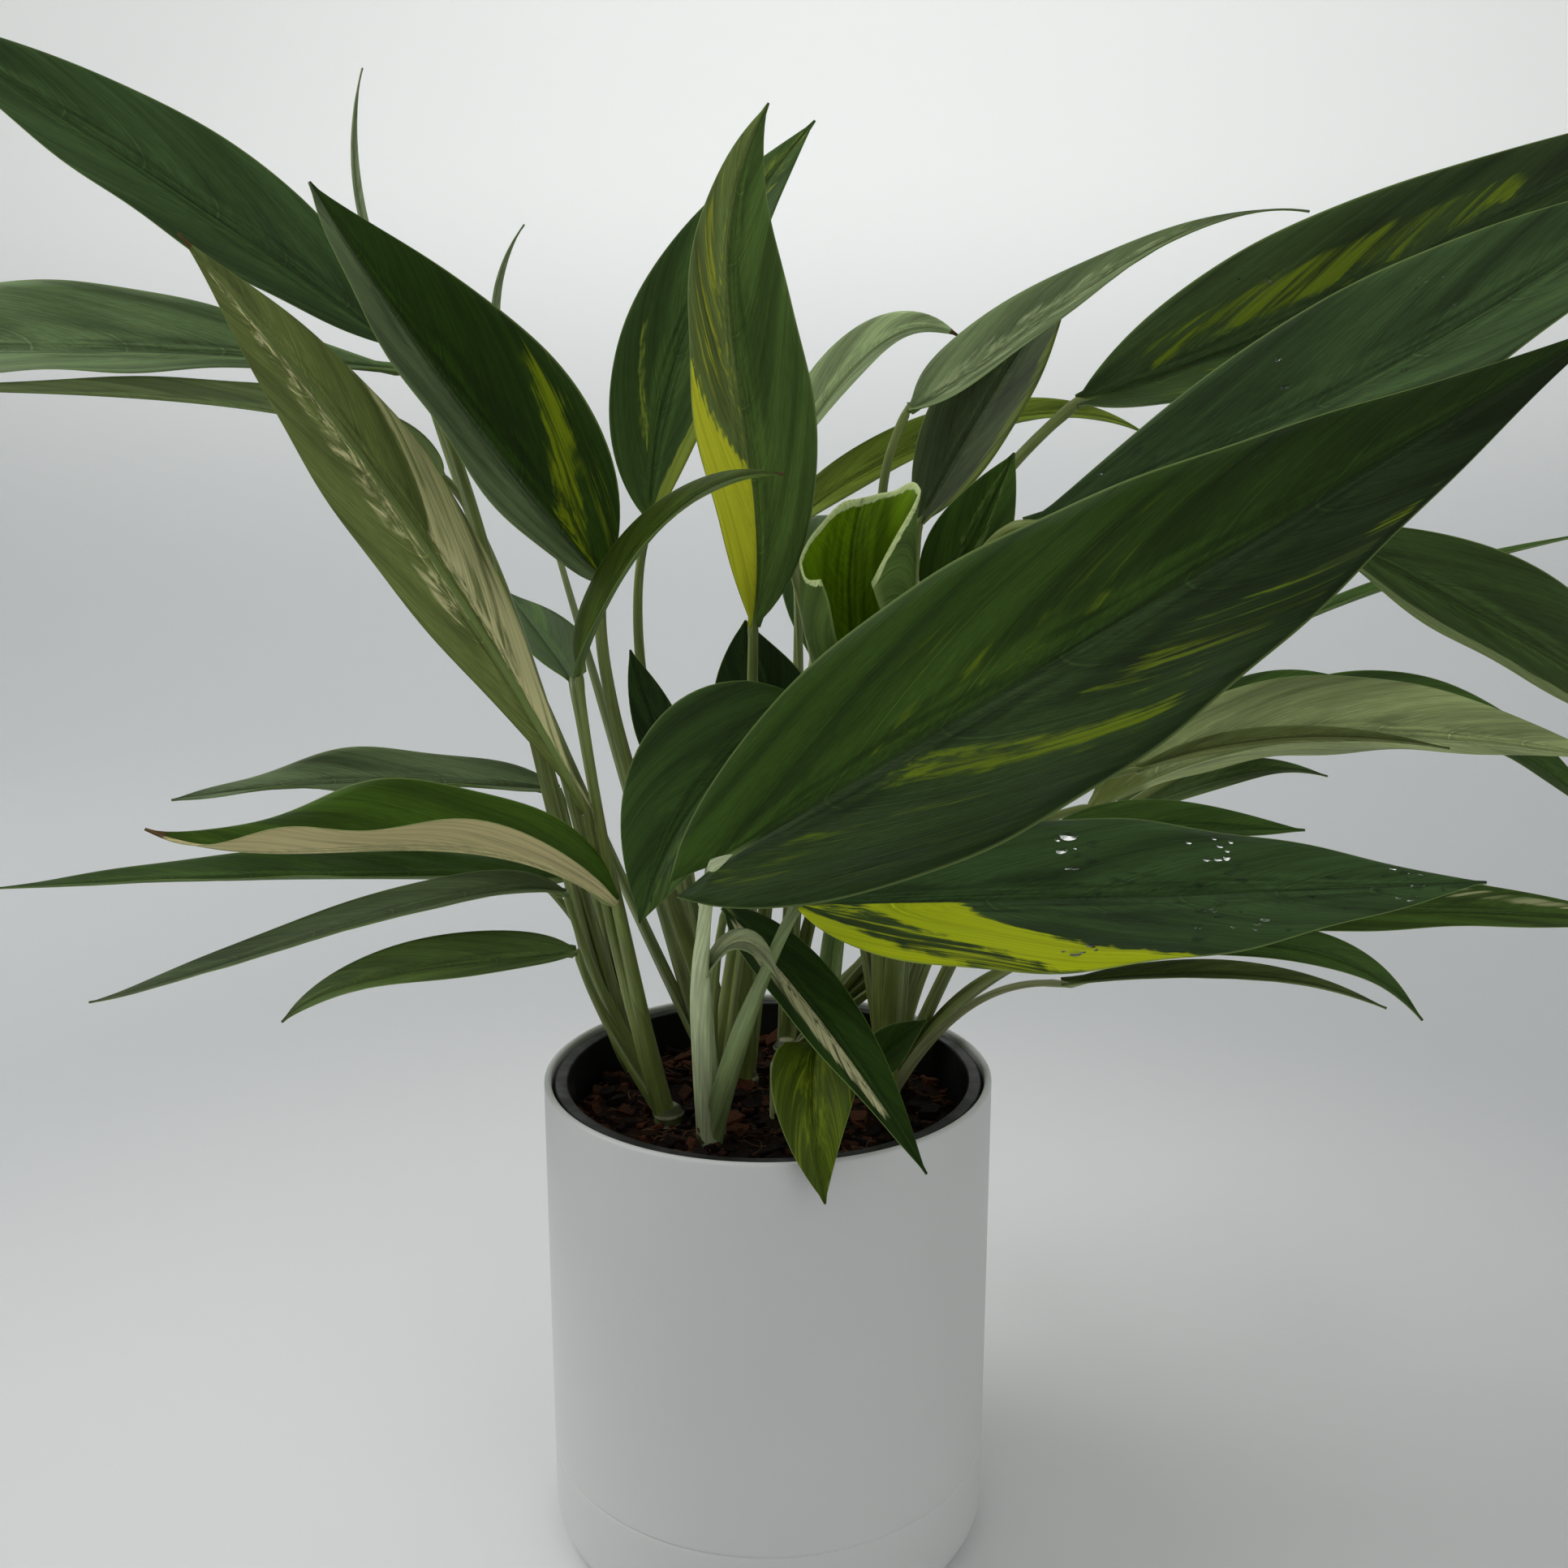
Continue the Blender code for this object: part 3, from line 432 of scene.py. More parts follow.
LOOKS = {
    "broad_front": Look(
        # painted shade: the upper face darkens towards the tip, where it turns away from the light
        green=(0.029, 0.063, 0.007), far=(0.022, 0.043, 0.010), dim=0.5, tint=(0.130, 0.185, 0.006),
        stalk=(0.56, 0.64, 0.36), mottle=0.0,
        patches=(
            Patch(1, 0.17, 0.26, 0.10, 0.80, 0.60, 0.38), Patch(1, 0.30, 0.50, 0.30, 0.95, 0.38, 0.38),
            Patch(1, -0.20, 0.15, 0.20, 0.95, 0.24, 0.38), Patch(-1, 0.12, 0.50, 0.05, 0.85, 0.25, 0.3),
        ),
    ),
    "wet_right": Look(
        green=(0.042, 0.084, 0.024), tint=(0.60, 0.70, 0.012), stalk=(0.24, 0.32, 0.12), mottle=0.0,
        patches=(
            Patch(1, 0.09, 0.235, 0.0, 1.0, 1.3, 0.33), Patch(1, -0.60, -0.07, 0.0, 1.0, 1.0, 0.33),
            Patch(1, -0.07, 0.09, 0.0, 1.0, 0.44, 0.33),
        ),
    ),
    "behind_broad": Look(
        green=(0.042, 0.084, 0.016), tint=(0.09, 0.15, 0.03), patches=(Patch(-1, 0.5, 1.0, 0.1, 1.0, 0.4),),
    ),
    "hanging_cream": Look(
        green=(0.018, 0.045, 0.004), tint=(0.60, 0.58, 0.33), mottle=0.0,
        patches=(Patch(1, 0.05, 0.82, 0.0, 0.66, 0.62, 0.0),),
    ),
    "dry_sheath": Look(
        green=(0.30, 0.34, 0.18), tint=(0.46, 0.46, 0.28), under=(0.28, 0.32, 0.17), mottle=0.6,
    ),
    "folded_cream": Look(
        green=(0.042, 0.090, 0.006), tint=(0.60, 0.52, 0.25), under=(0.46, 0.42, 0.20), tip=0.06,
        patches=(Patch(-1, -0.5, 1.2, 0.2, 1.0, 0.62, 0.0),),
    ),
    "pale_underside": Look(
        under=(0.150, 0.190, 0.052), tint=(0.78, 0.74, 0.38), tip=0.04, mottle=0.0,
        patches=(Patch(-1, -0.2, 0.42, 0.1, 1.0, 0.66, 0.3), Patch(1, 0.3, 0.95, 0.0, 0.4, 0.38, 0.0)),
    ),
    "arching_front": Look(green=(0.056, 0.092, 0.009), tint=(0.20, 0.27, 0.05), tip=0.03, mottle=0.3),
    "low_slender": Look(green=(0.068, 0.100, 0.036)),
    "low_short": Look(green=(0.075, 0.120, 0.030)),
    "long_low": Look(green=(0.038, 0.082, 0.010)),
    "dull_low": Look(green=(0.094, 0.135, 0.058)),
    "upper_left": Look(green=(0.050, 0.095, 0.028)),
    "level_left": Look(green=(0.130, 0.200, 0.080)),
    "edge_on_left": Look(green=(0.12, 0.17, 0.06), under=(0.17, 0.23, 0.08), tip=0.04),
    "yellow_patch": Look(
        green=(0.110, 0.155, 0.070), far=(0.020, 0.050, 0.002), tint=(0.21, 0.28, 0.003), mottle=0.0,
        patches=(Patch(1, 0.0, 0.17, 0.06, 0.88, 0.60, 0.5), Patch(1, -0.6, 0.0, 0.3, 1.0, 0.25, 0.5)),
    ),
    "tall_folded": Look(
        green=(0.160, 0.215, 0.060), far=(0.085, 0.150, 0.032), tint=(0.72, 0.74, 0.04), mottle=0.0,
        patches=(Patch(-1, -0.6, 0.3, 0.0, 1.0, 1.2, 0.23), Patch(-1, 0.3, 0.8, 0.0, 0.9, 0.26, 0.23)),
    ),
    "tall_behind": Look(
        green=(0.072, 0.132, 0.034), tint=(0.32, 0.40, 0.06), mottle=0.0,
        patches=(
            Patch(-1, 0.13, 0.22, 0.15, 0.75, 0.5, 0.5), Patch(1, -0.60, -0.05, 0.3, 1.0, 0.9, 0.5),
            Patch(0, 0.75, 0.95, 0.0, 0.6, 0.34, 0.3),
        ),
    ),
    "thin_high": Look(green=(0.26, 0.32, 0.17), under=(0.26, 0.32, 0.17), stalk=(0.22, 0.27, 0.10)),
    "thin_mid": Look(green=(0.26, 0.32, 0.17), under=(0.26, 0.32, 0.17), stalk=(0.22, 0.27, 0.10)),
    "round_dark": Look(green=(0.030, 0.060, 0.015), mottle=0.0),
    "small_dark": Look(green=(0.030, 0.060, 0.015), mottle=0.0),
    "young_rolled": Look(
        green=(0.125, 0.230, 0.004), tint=(0.64, 0.76, 0.34), under=(0.085, 0.145, 0.030), mottle=0.0,
        stalk=(0.12, 0.20, 0.04),
    ),
    "hanging_lime": Look(
        green=(0.060, 0.095, 0.004), tint=(0.17, 0.23, 0.010), patches=(Patch(0, 0.0, 0.7, 0.0, 1.0, 0.4),),
    ),
    # grey_right's grey-green is partly its own colour and partly painted sheen
    "grey_right": Look(
        green=(0.070, 0.098, 0.040), tint=(0.17, 0.22, 0.04), mottle=0.0,
        patches=(Patch(1, -0.5, 0.9, 0.75, 1.0, 0.6, 0.0),),
    ),
    "long_tailed": Look(
        green=(0.135, 0.185, 0.078), tint=(0.32, 0.38, 0.19),
        patches=(Patch(0, 0.1, 0.9, 0.0, 0.45, 0.42, 0.0),),
    ),
    "upper_right": Look(
        # painted shade: the upper face darkens towards the tip, where it turns away from the light
        green=(0.046, 0.078, 0.022), tint=(0.17, 0.24, 0.012), dim=0.3,
        patches=(Patch(-1, 0.12, 0.75, 0.18, 0.60, 0.44, 0.0), Patch(1, 0.0, 0.5, 0.1, 0.9, 0.25, 0.2)),
    ),
    "dark_right": Look(green=(0.045, 0.082, 0.026), mottle=0.0),
    "far_right": Look(
        green=(0.048, 0.086, 0.020), tint=(0.20, 0.26, 0.10), under=(0.22, 0.28, 0.12),
        patches=(Patch(1, -0.5, 1.0, 0.72, 1.0, 0.8, 0.0),),
    ),
    "pale_right": Look(
        green=(0.33, 0.41, 0.18), tint=(0.22, 0.26, 0.07), under=(0.37, 0.44, 0.185), mottle=0.0,
        patches=(Patch(0, -0.5, 0.12, 0.0, 1.0, 0.8, 0.0),),
    ),
    "narrow_right": Look(
        green=(0.120, 0.150, 0.045), tint=(0.22, 0.24, 0.10),
        patches=(Patch(1, 0.0, 1.0, 0.7, 1.0, 0.6, 0.0),),
    ),
    "tailed_right": Look(green=(0.100, 0.150, 0.050)),
    "folded_small": Look(
        green=(0.040, 0.085, 0.010), tint=(0.13, 0.20, 0.05),
        patches=(Patch(0, 0.0, 1.0, 0.1, 0.3, 0.5, 0.0),),
    ),
    "low_right": Look(
        green=(0.045, 0.085, 0.013), tint=(0.36, 0.38, 0.18),
        patches=(Patch(-1, 0.0, 1.0, 0.45, 0.8, 0.5, 0.0),),
    ),
    "low_thin": Look(green=(0.060, 0.085, 0.020), tint=(0.34, 0.36, 0.18), stalk=(0.30, 0.32, 0.15)),
    "pale_arch": Look(green=(0.33, 0.43, 0.20), under=(0.58, 0.72, 0.37), tip=0.06),
    "lime_arch": Look(green=(0.14, 0.20, 0.02), under=(0.12, 0.18, 0.03)),
}
STUB_LOOK = Look(stalk=(0.36, 0.40, 0.19), tint=(0.42, 0.38, 0.20))
STEM_LOOK = Look(stalk=(0.060, 0.070, 0.024), tint=(0.14, 0.10, 0.05))

# Water drops. count: how many are tried. along and across: between which shares of the length and of the half
# width they lie. size: the least and the greatest radius.
Wet = namedtuple("Wet", "count along across size")
WET_LEAVES = {
    "wet_right": Wet(220, (0.38, 0.95), (-0.85, 0.85), (0.5, 1.6)),
    "upper_right": Wet(110, (0.1, 0.9), (-0.8, 0.9), (0.3, 1.2)),
    "dark_right": Wet(110, (0.1, 0.95), (-0.8, 0.8), (0.3, 1.3)),
}

DROP_SIDES = 16
DROP_ANGLES = (0.0, 22.0, 42.0, 60.0, 76.0)
DROP_RISES = (0.13, 0.22)  # heights, as shares of the radius
DROP_LENGTHS = (1.0, 1.7)  # how much longer than wide a drop is
DROP_BIAS = 1.7
DROP_SUNK = 0.12
DROP_GAP = 0.3
DROP_EDGE_GAP = 1.0
DROP_RIB_GAP = 0.06  # as a share of the half width

# The values that the plant's materials read at each point of a mesh, and how many numbers each holds
VALUES = {"green": 4, "tint": 4, "grain": 3, "spot": 3, "patch": 3}


# The form of a leaf, as in the part's source
def unit(vector):
    return vector / np.linalg.norm(vector)


def through(points, share):
    """The place at this share, 0 to 1, of the smooth curve that passes evenly through the points."""
    knots = np.linspace(0.0, 1.0, len(points))
    place = np.zeros(3)
    for i, point in enumerate(points):
        others = np.delete(knots, i)
        place += np.prod((share - others) / (knots[i] - others)) * np.asarray(point, float)
    return place


def half_width(leaf, share):
    along = share * leaf.cut
    rise = leaf.taper * leaf.widest / (1.0 - leaf.widest)
    peak = leaf.widest**rise * (1.0 - leaf.widest) ** leaf.taper
    outline = along**rise * (1.0 - along) ** leaf.taper / peak
    least = BLADE_BASE_HALF_WIDTH * (1.0 - along) ** 3 + BLADE_TIP_HALF_WIDTH
    return max(least, 0.5 * leaf.width * outline)


def rib_frame(leaf, share):
    """The place on the midrib, with the directions along it, to its side and up from its upper face."""
    step = 0.01
    ahead = through(leaf.rib, min(1.0, share + step))
    along = unit(ahead - through(leaf.rib, max(0.0, share - step)))
    faces = np.asarray(leaf.faces, float)
    up = unit(faces - faces.dot(along) * along)
    return through(leaf.rib, share), along, np.cross(along, up), up


def curve_length(points):
    steps = 8
    places = [through(points, i / steps) for i in range(steps + 1)]
    return sum(np.linalg.norm(b - a) for a, b in zip(places, places[1:]))


def blade_row(leaf, share, across):
    """The points across the blade at one share of its length, and the upper face's direction at each."""
    middle, along, side, up = rib_frame(leaf, share)
    width = half_width(leaf, share)
    out = np.abs(across)
    sign = np.sign(across)
    bent = 1.0 - (share * leaf.cut) ** 8  # the tip is flat
    fold = math.radians(leaf.fold) * bent
    curl = math.radians(leaf.curl) * bent + 0.0001
    sideways = width * (np.sin(fold + curl * out) - math.sin(fold)) / curl
    raised = width * (math.cos(fold) - np.cos(fold + curl * out)) / curl
    waves = np.sin(4.0 * math.pi * share + 1.3 * sign)
    raised = raised + leaf.wave * out**2 * 4.0 * share * (1.0 - share) * waves
    torn = leaf.slant * (across - across * out**3 - 0.6 * out**4)
    back = leaf.lobe * out**1.5 * (1.0 - share) ** 8 - torn * share
    points = middle + np.outer(sign * sideways, side) + np.outer(raised, up) - np.outer(back, along)
    turn = fold + curl * out
    normals = np.outer(np.cos(turn), up) - np.outer(sign * np.sin(turn), side)
    return points, normals


# Meshes
def circle(count):
    """Evenly spaced turns once round, in radians."""
    return np.linspace(0.0, FULL_TURN, count, endpoint=False)


def table(*columns):
    """Numbers or rows of numbers as the columns of one table."""
    return np.column_stack(np.broadcast_arrays(*columns))


def turned_points(profile, steps):
    """The profile of (radius, height) points turned about Z, ring by ring."""
    turns = circle(steps)
    return np.concatenate([table(r * np.cos(turns), r * np.sin(turns), z) for r, z in profile])


def oval(middle, turns, reach, first, second, long=1.0):
    """A ring of points round the middle, in the plane of two directions and drawn out along the first."""
    return middle + np.outer(long * reach * np.cos(turns), first) + np.outer(reach * np.sin(turns), second)


def grid_faces(rows, columns, first=0, closed=False, flip=False):
    """The four-sided faces between rows of points. A closed grid's last column joins its first."""
    faces = []
    for row in range(first, first + (rows - 1) * columns, columns):
        for j in range(columns if closed else columns - 1):
            near, far = row + j, row + (j + 1) % columns
            corners = (near, far, far + columns, near + columns)
            faces.append(corners[::-1] if flip else corners)
    return faces


def rod_faces(rows, columns, first=0, flip=False):
    """The faces of a closed rod: a closed grid, with a flat face at each end."""
    start = tuple(range(first, first + columns))
    end = tuple(range(first + (rows - 1) * columns, first + rows * columns))
    ends = [start, end[::-1]] if flip else [start[::-1], end]
    return grid_faces(rows, columns, first, closed=True, flip=flip) + ends


def smooth_mesh(name, points, faces, sharp_degrees=None):
    mesh = bpy.data.meshes.new(name)
    mesh.from_pydata((np.asarray(points) * MM).tolist(), [], faces)
    mesh.shade_smooth()
    if sharp_degrees:
        mesh.set_sharp_from_angle(angle=math.radians(sharp_degrees))
    return mesh


def put(name, mesh, materials, replaced=None):
    """Links a finished piece with its materials, rides it on the root and hides the CAD node it replaces."""
    piece = bpy.data.objects.new(name, mesh)
    bpy.context.scene.collection.objects.link(piece)
    for material in materials:
        mesh.materials.append(material)
    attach(piece, "root")
    if replaced:
        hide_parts(replaced)
    return piece


class Growth:
    """Gathers the points, the faces and the materials' values of one grown piece."""

    def __init__(self):
        self.points = []
        self.faces = []
        self.kinds = []
        self.values = {name: [] for name in VALUES}
        self.count = 0

    def add(self, points, faces, kinds, values):
        self.points.append(points)
        self.faces += [tuple(self.count + corner for corner in face) for face in faces]
        self.kinds += kinds
        for name, width in VALUES.items():
            rows = np.broadcast_to(np.asarray(values[name], float), (len(points), width))
            self.values[name].append(rows)
        self.count += len(points)

    def mesh(self, name):
        made = smooth_mesh(name, np.concatenate(self.points), self.faces)
        for value, width in VALUES.items():
            kind, field = ("FLOAT_COLOR", "color") if width == 4 else ("FLOAT_VECTOR", "vector")
            layer = made.attributes.new(value, kind, "POINT")
            layer.data.foreach_set(field, np.concatenate(self.values[value]).ravel())
        made.polygons.foreach_set("material_index", self.kinds)
        return made


# The plant's materials, by their places on each grown piece
UPPER, UNDER, STALK = 0, 1, 2


def opaque(colour):
    return (*colour, 1.0)


def fade(value, low, high):
    """0 at low, 1 at high and smooth between them."""
    share = np.clip((value - low) / (high - low), 0.0, 1.0)
    return share * share * (3.0 - 2.0 * share)


def fade_at(value, edge, soft):
    return fade(value, edge - soft, edge + soft)


def hump(distance, width):
    """1 where the distance is 0, falling smoothly to 0 over about twice the width."""
    return np.exp(-((distance / width) ** 2))


def random_size(dice, sizes, bias):
    """A size between the two. With a bias above 1, smaller ones come more often."""
    small, large = sizes
    return small * (large / small) ** (dice.uniform() ** bias)


# Leaf blades
def paleness(look, share, across):
    """How far the points across one share of the length lie in their leaf's pale patches."""
    level = np.zeros_like(across)
    out = np.abs(across)
    for patch in look.patches:
        place = share - patch.lean * out**1.5
        there = fade_at(place, patch.start, PATCH_SOFT_ENDS)
        there = there * (1.0 - fade_at(place, patch.end, PATCH_SOFT_ENDS))
        if patch.inner:
            there = there * fade_at(out, patch.inner, PATCH_SOFT_SIDES)
        if patch.outer < 1.0:
            there = there * (1.0 - fade_at(out, patch.outer, PATCH_SOFT_SIDES))
        if patch.side:
            there = there * (np.sign(across) == patch.side)
        level = np.maximum(level, patch.amount * there)
    return level


def blade_grid(leaf, length):
    """The shares of the length and of the half width at which a blade's rows and columns of points lie."""
    finer = 2 if leaf.cut < 1.0 else 1
    rows = max(BLADE_LEAST_ROWS, round(length / BLADE_STEP)) * finer + 1
    columns = (BLADE_COLUMNS if leaf.width > NARROW_BLADE else NARROW_COLUMNS) * finer + 1
    across = np.linspace(-1.0, 1.0, columns)
    return np.linspace(0.0, 1.0, rows), np.sign(across) * np.abs(across) ** MIDDLE_CROWD


def edge_ripple(leaf, share, place, across, turns):
    """The height of the waves along the blade's two edges."""
    still = 4.0 * share * (1.0 - share)
    wave = np.sin(FULL_TURN * place / RIPPLE_LENGTH + np.where(across < 0.0, turns[0], turns[1]))
    return EDGE_RIPPLE * leaf.width / BROAD_BLADE * np.abs(across) ** 2.5 * still * wave


def quilting(share, out, distance, count, pitch):
    """The height of the low swells between the side veins."""
    quiet = fade(distance, 1.0, 5.0) * (1.0 - out**6) * (1.0 - share**6)
    return QUILT_SHARE * pitch * np.cos(FULL_TURN * count) * quiet


def rib_relief(leaf, share, distance):
    """The depth of the groove above the midrib and of the keel below it."""
    groove = RIB_GROOVE_DEPTH * hump(distance, RIB_GROOVE_WIDTH) * (1.0 - share) ** 0.35
    keel = (0.15 + KEEL_DEPTH * (1.0 - share) ** 1.2) * leaf.width / BROAD_BLADE
    return groove, keel * hump(distance, KEEL_WIDTHS[0] + KEEL_WIDTHS[1] * (1.0 - share))


def blade_faces(rows, columns):
    """The faces of a blade's two sides and of the edge round them, and each face's material."""
    size = rows * columns
    faces = grid_faces(rows, columns)
    kinds = [UPPER] * len(faces) + [UNDER] * len(faces)
    faces += grid_faces(rows, columns, first=size, flip=True)
    ring = [i * columns for i in range(rows)]
    ring += [(rows - 1) * columns + j for j in range(1, columns)]
    ring += [i * columns + columns - 1 for i in range(rows - 2, -1, -1)]
    ring += list(range(columns - 2, 0, -1))
    faces += [(a, b, b + size, a + size) for a, b in zip(ring, ring[1:] + ring[:1])]
    return faces, kinds + [UPPER] * len(ring)


def blade_greens(look, shares, across):
    """The green of each point: the blade's upper side, darkened towards the tip by painted shade, then its
    underside.
    """
    size = len(shares) * len(across)
    second = fade(np.tile(across, len(shares)), -0.08, 0.08)[:, None]
    upper = np.array(look.green) * (1.0 - second) + np.array(look.far or look.green) * second
    along = np.repeat(shares, len(across))
    green = np.ones((2 * size, 4))
    # Painted shade: the upper side is darkened towards the tip, where the blade turns away from the light
    green[:size, :3] = upper * (1.0 - look.dim * fade(along, 0.3, 0.9))[:, None]
    green[size:, :3] = look.under
    return green


def add_blade(growth, leaf, look, dice):
    length = curve_length(leaf.rib)
    torn = leaf.cut < 1.0
    shares, across = blade_grid(leaf, length)
    out = np.abs(across)
    halves = np.tanh(HALVES_EDGE * across)
    pitch = max(VEIN_PITCH_LEAST, VEIN_PITCH_SHARE * length)
    ripple_turns = dice.uniform(0.0, FULL_TURN, 2)
    tear_turns = dice.uniform(0.0, FULL_TURN, len(TEAR_PITCHES))
    seed = dice.uniform(0.0, GRAIN_SPREAD)
    uppers, unders, grains, spots, patches = [], [], [], [], []
    for share in shares:
        points, normals = blade_row(leaf, share, across)
        distance = half_width(leaf, share) * out
        place = share * length
        vein = place - distance * (VEIN_LEAN + VEIN_LEAN_GAIN * out)
        count = vein / pitch + VEIN_SHIFT * halves
        height = edge_ripple(leaf, share, place, across, ripple_turns)
        height = height - quilting(share, out, distance, count, pitch)
        points = points + height[:, None] * normals
        if torn:
            rough = sum(np.sin(across * k + turn) / k for k, turn in zip(TEAR_PITCHES, tear_turns))
            points = points - np.outer(TEAR_DEPTH * rough * share**5, rib_frame(leaf, share)[1])
        groove, keel = rib_relief(leaf, share, distance)
        half = 0.5 * BLADE_THICKNESS * (1.0 - 0.7 * out**10)
        uppers.append(points + (half - groove)[:, None] * normals)
        unders.append(points - (half + keel)[:, None] * normals)
        grains.append(table(vein, distance, seed + HALVES_SPREAD * halves))
        spots.append(table(out, share, count))
        dry = fade(share, 1.0 - look.tip, 1.0 - 0.4 * look.tip) if look.tip else 0.0
        lip = 1.5 * fade(share, 0.94, 0.99) if torn else 0.0
        patches.append(table(np.maximum(paleness(look, share, across), lip), dry, look.mottle))
    faces, kinds = blade_faces(len(shares), len(across))
    values = {
        "green": blade_greens(look, shares, across),
        "tint": opaque(look.tint),
        "grain": np.concatenate(grains + grains),
        "spot": np.concatenate(spots + spots),
        "patch": np.concatenate(patches + patches),
    }
    growth.add(np.concatenate(uppers + unders), faces, kinds, values)


# Stalks and stems
def sweep(growth, path, radii, channels, section, look, dice, wings):
    """A closed rod along the path. section gives each ring's radii around it, from its channel's direction.

    wings gives how much each point is part of a thin pale edge.
    """
    turns = circle(STALK_SIDES)
    seed = dice.uniform(0.0, GRAIN_SPREAD)
    rings, grains, spots = [], [], []
    tangents = np.gradient(np.array(path), axis=0)
    channel = channels[0]
    run = 0.0
    for i, middle in enumerate(path):
        along = unit(tangents[i])
        channel = 0.6 * channel + 0.4 * channels[i]
        channel = unit(channel - channel.dot(along) * along)
        rings.append(oval(middle, turns, radii[i] * section(turns, i), channel, np.cross(along, channel)))
        if i:
            run += np.linalg.norm(middle - path[i - 1])
        grains.append(table(turns * radii[i], run, seed))
        spots.append(table(wings(turns, i), i / (len(path) - 1), turns))
    faces = rod_faces(len(path), STALK_SIDES)
    values = {
        "green": opaque(look.stalk),
        "tint": opaque(look.tint),
        "grain": np.concatenate(grains),
        "spot": np.concatenate(spots),
        "patch": (0.0, 0.0, 0.0),
    }
    growth.add(np.concatenate(rings), faces, [STALK] * len(faces), values)


def around(turns):
    """How far each turn is from the channel's direction, in radians."""
    return np.minimum(turns, FULL_TURN - turns)


def stalk_radius(sizes, leaf):
    return sizes[0] + sizes[1] * leaf.width


def add_stalk(growth, leaf, place, look, dice):
    """A channelled stalk from the soil to just under its blade, with a sheath over its lower part."""
    near = np.array((leaf.via[0][0] - place[0], leaf.via[0][1] - place[1]))
    start = np.array(place) + STALK_SPREAD * unit(near)
    points = [(start[0], start[1], SOIL_TOP + STALK_RISE), *leaf.via, leaf.rib[0]]
    count = max(12, round(curve_length(points) / STALK_STEP))
    foot = stalk_radius(STALK_FOOT_RADIUS, leaf)
    top = stalk_radius(STALK_TOP_RADIUS, leaf)
    inward = unit(np.array((-near[0], -near[1], 8.0)))
    leaf_up = rib_frame(leaf, 0.0)[3]
    path = [np.array((start[0], start[1], SOIL_TOP - STALK_BURIED))]
    radii = [foot]
    channels = [inward]
    shares = [0.0]
    for share in np.arange(count + 1) / count:
        path.append(through(points, share))
        joint = 1.0 + JOINT_SWELL * hump(share - JOINT_PLACE, JOINT_LENGTH)
        radii.append((foot + (top - foot) * share**0.7) * joint)
        channels.append(unit(inward * (1.0 - share) + leaf_up * share))
        shares.append(share)
    for i in range(1, 4):
        middle, _, _, up = rib_frame(leaf, STALK_UNDER_BLADE * i / 3)
        radius = top * (1.0 - 0.25 * i)
        path.append(middle - (radius + 0.25) * up)
        radii.append(radius)
        channels.append(up)
        shares.append(1.0)

    def sheath(i):
        return 1.0 - float(fade(shares[i], 0.55 * SHEATH_END, SHEATH_END))

    def section(turns, i):
        beside = around(turns)
        wing = 0.10 * (1.0 - shares[i]) + 0.85 * sheath(i) * (1.0 - 0.5 * shares[i])
        channel = 0.22 * (1.0 - shares[i] ** 4) + 0.4 * sheath(i)
        return 1.0 - channel * hump(beside, CHANNEL_WIDTH) + wing * hump(beside - SHEATH_EDGE, 0.3)

    def wings(turns, i):
        return sheath(i) * hump(around(turns) - SHEATH_EDGE, 0.2)

    sweep(growth, path, radii, channels, section, look, dice, wings)


def add_stem(growth, place, dice):
    """The short stem in the soil, ringed where earlier leaves grew."""
    top = SOIL_TOP + STEM_RISE
    heights = np.append(np.linspace(SOIL_TOP - STEM_DEPTH, top, STEM_RINGS), top + 0.9)
    path = [np.array((*place, height)) for height in heights]
    radii = STEM_RADIUS * (1.0 + 0.07 * np.sin(heights * STEM_RING_PACE + dice.uniform(0.0, 6.0)))
    radii[-3:] *= (0.93, 0.8, 0.45)
    turn = dice.uniform(0.0, 6.0)

    def section(turns, i):
        return 1.0 + 0.05 * np.sin(3.0 * turns + turn + 0.1 * i)

    def wings(turns, i):
        return np.full(len(turns), 0.5 + 0.5 * math.sin(heights[i] * STEM_RING_PACE))

    channels = [np.array((1.0, 0.0, 0.0))] * len(path)
    sweep(growth, path, radii, channels, section, STEM_LOOK, dice, wings)


def add_leafy_stem(name, stem, materials, dice):
    growth = Growth()
    add_stem(growth, stem.place, dice)
    for leaf_name, leaf in stem.leaves.items():
        look = LOOKS.get(leaf_name, Look())
        add_blade(growth, leaf, look, dice)
        if leaf.via:
            add_stalk(growth, leaf, stem.place, look, dice)
    put(name + "_grown", growth.mesh(name + "_grown"), materials, name)


def add_stub(materials, dice):
    """The stump of a leaf stalk that was cut off, with its channel and its dried cut."""
    growth = Growth()
    last = STUB_RINGS - 1
    heights = np.linspace(SOIL_TOP - STEM_DEPTH, SOIL_TOP + STUB_RISE, STUB_RINGS)
    path = [np.array((*STUB_PLACE, height)) for height in heights]
    radii = STUB_RADIUS * np.linspace(1.0, 0.84, STUB_RINGS)
    radii[last] *= 0.9

    def section(turns, i):
        beside = around(turns)
        return 1.0 - 0.35 * hump(beside, 0.7) + 0.1 * hump(beside - 1.0, 0.3)

    def wings(turns, i):
        return np.full(len(turns), 1.0 if i >= last - 1 else 0.0)

    channels = [unit(np.array((0.4, -1.0, 0.0)))] * STUB_RINGS
    sweep(growth, path, radii, channels, section, STUB_LOOK, dice, wings)
    put("cut_stub_grown", growth.mesh("cut_stub_grown"), materials, "cut_stub")


# Water
def drop_frame(leaf, share, across):
    """A place on the blade's upper face, the direction up from it and one along it."""
    points, normals = blade_row(leaf, share, np.array((across,)))
    ahead, _ = blade_row(leaf, min(1.0, share + 0.01), np.array((across,)))
    up = normals[0]
    along = ahead[0] - points[0]
    return points[0], up, unit(along - along.dot(up) * up)


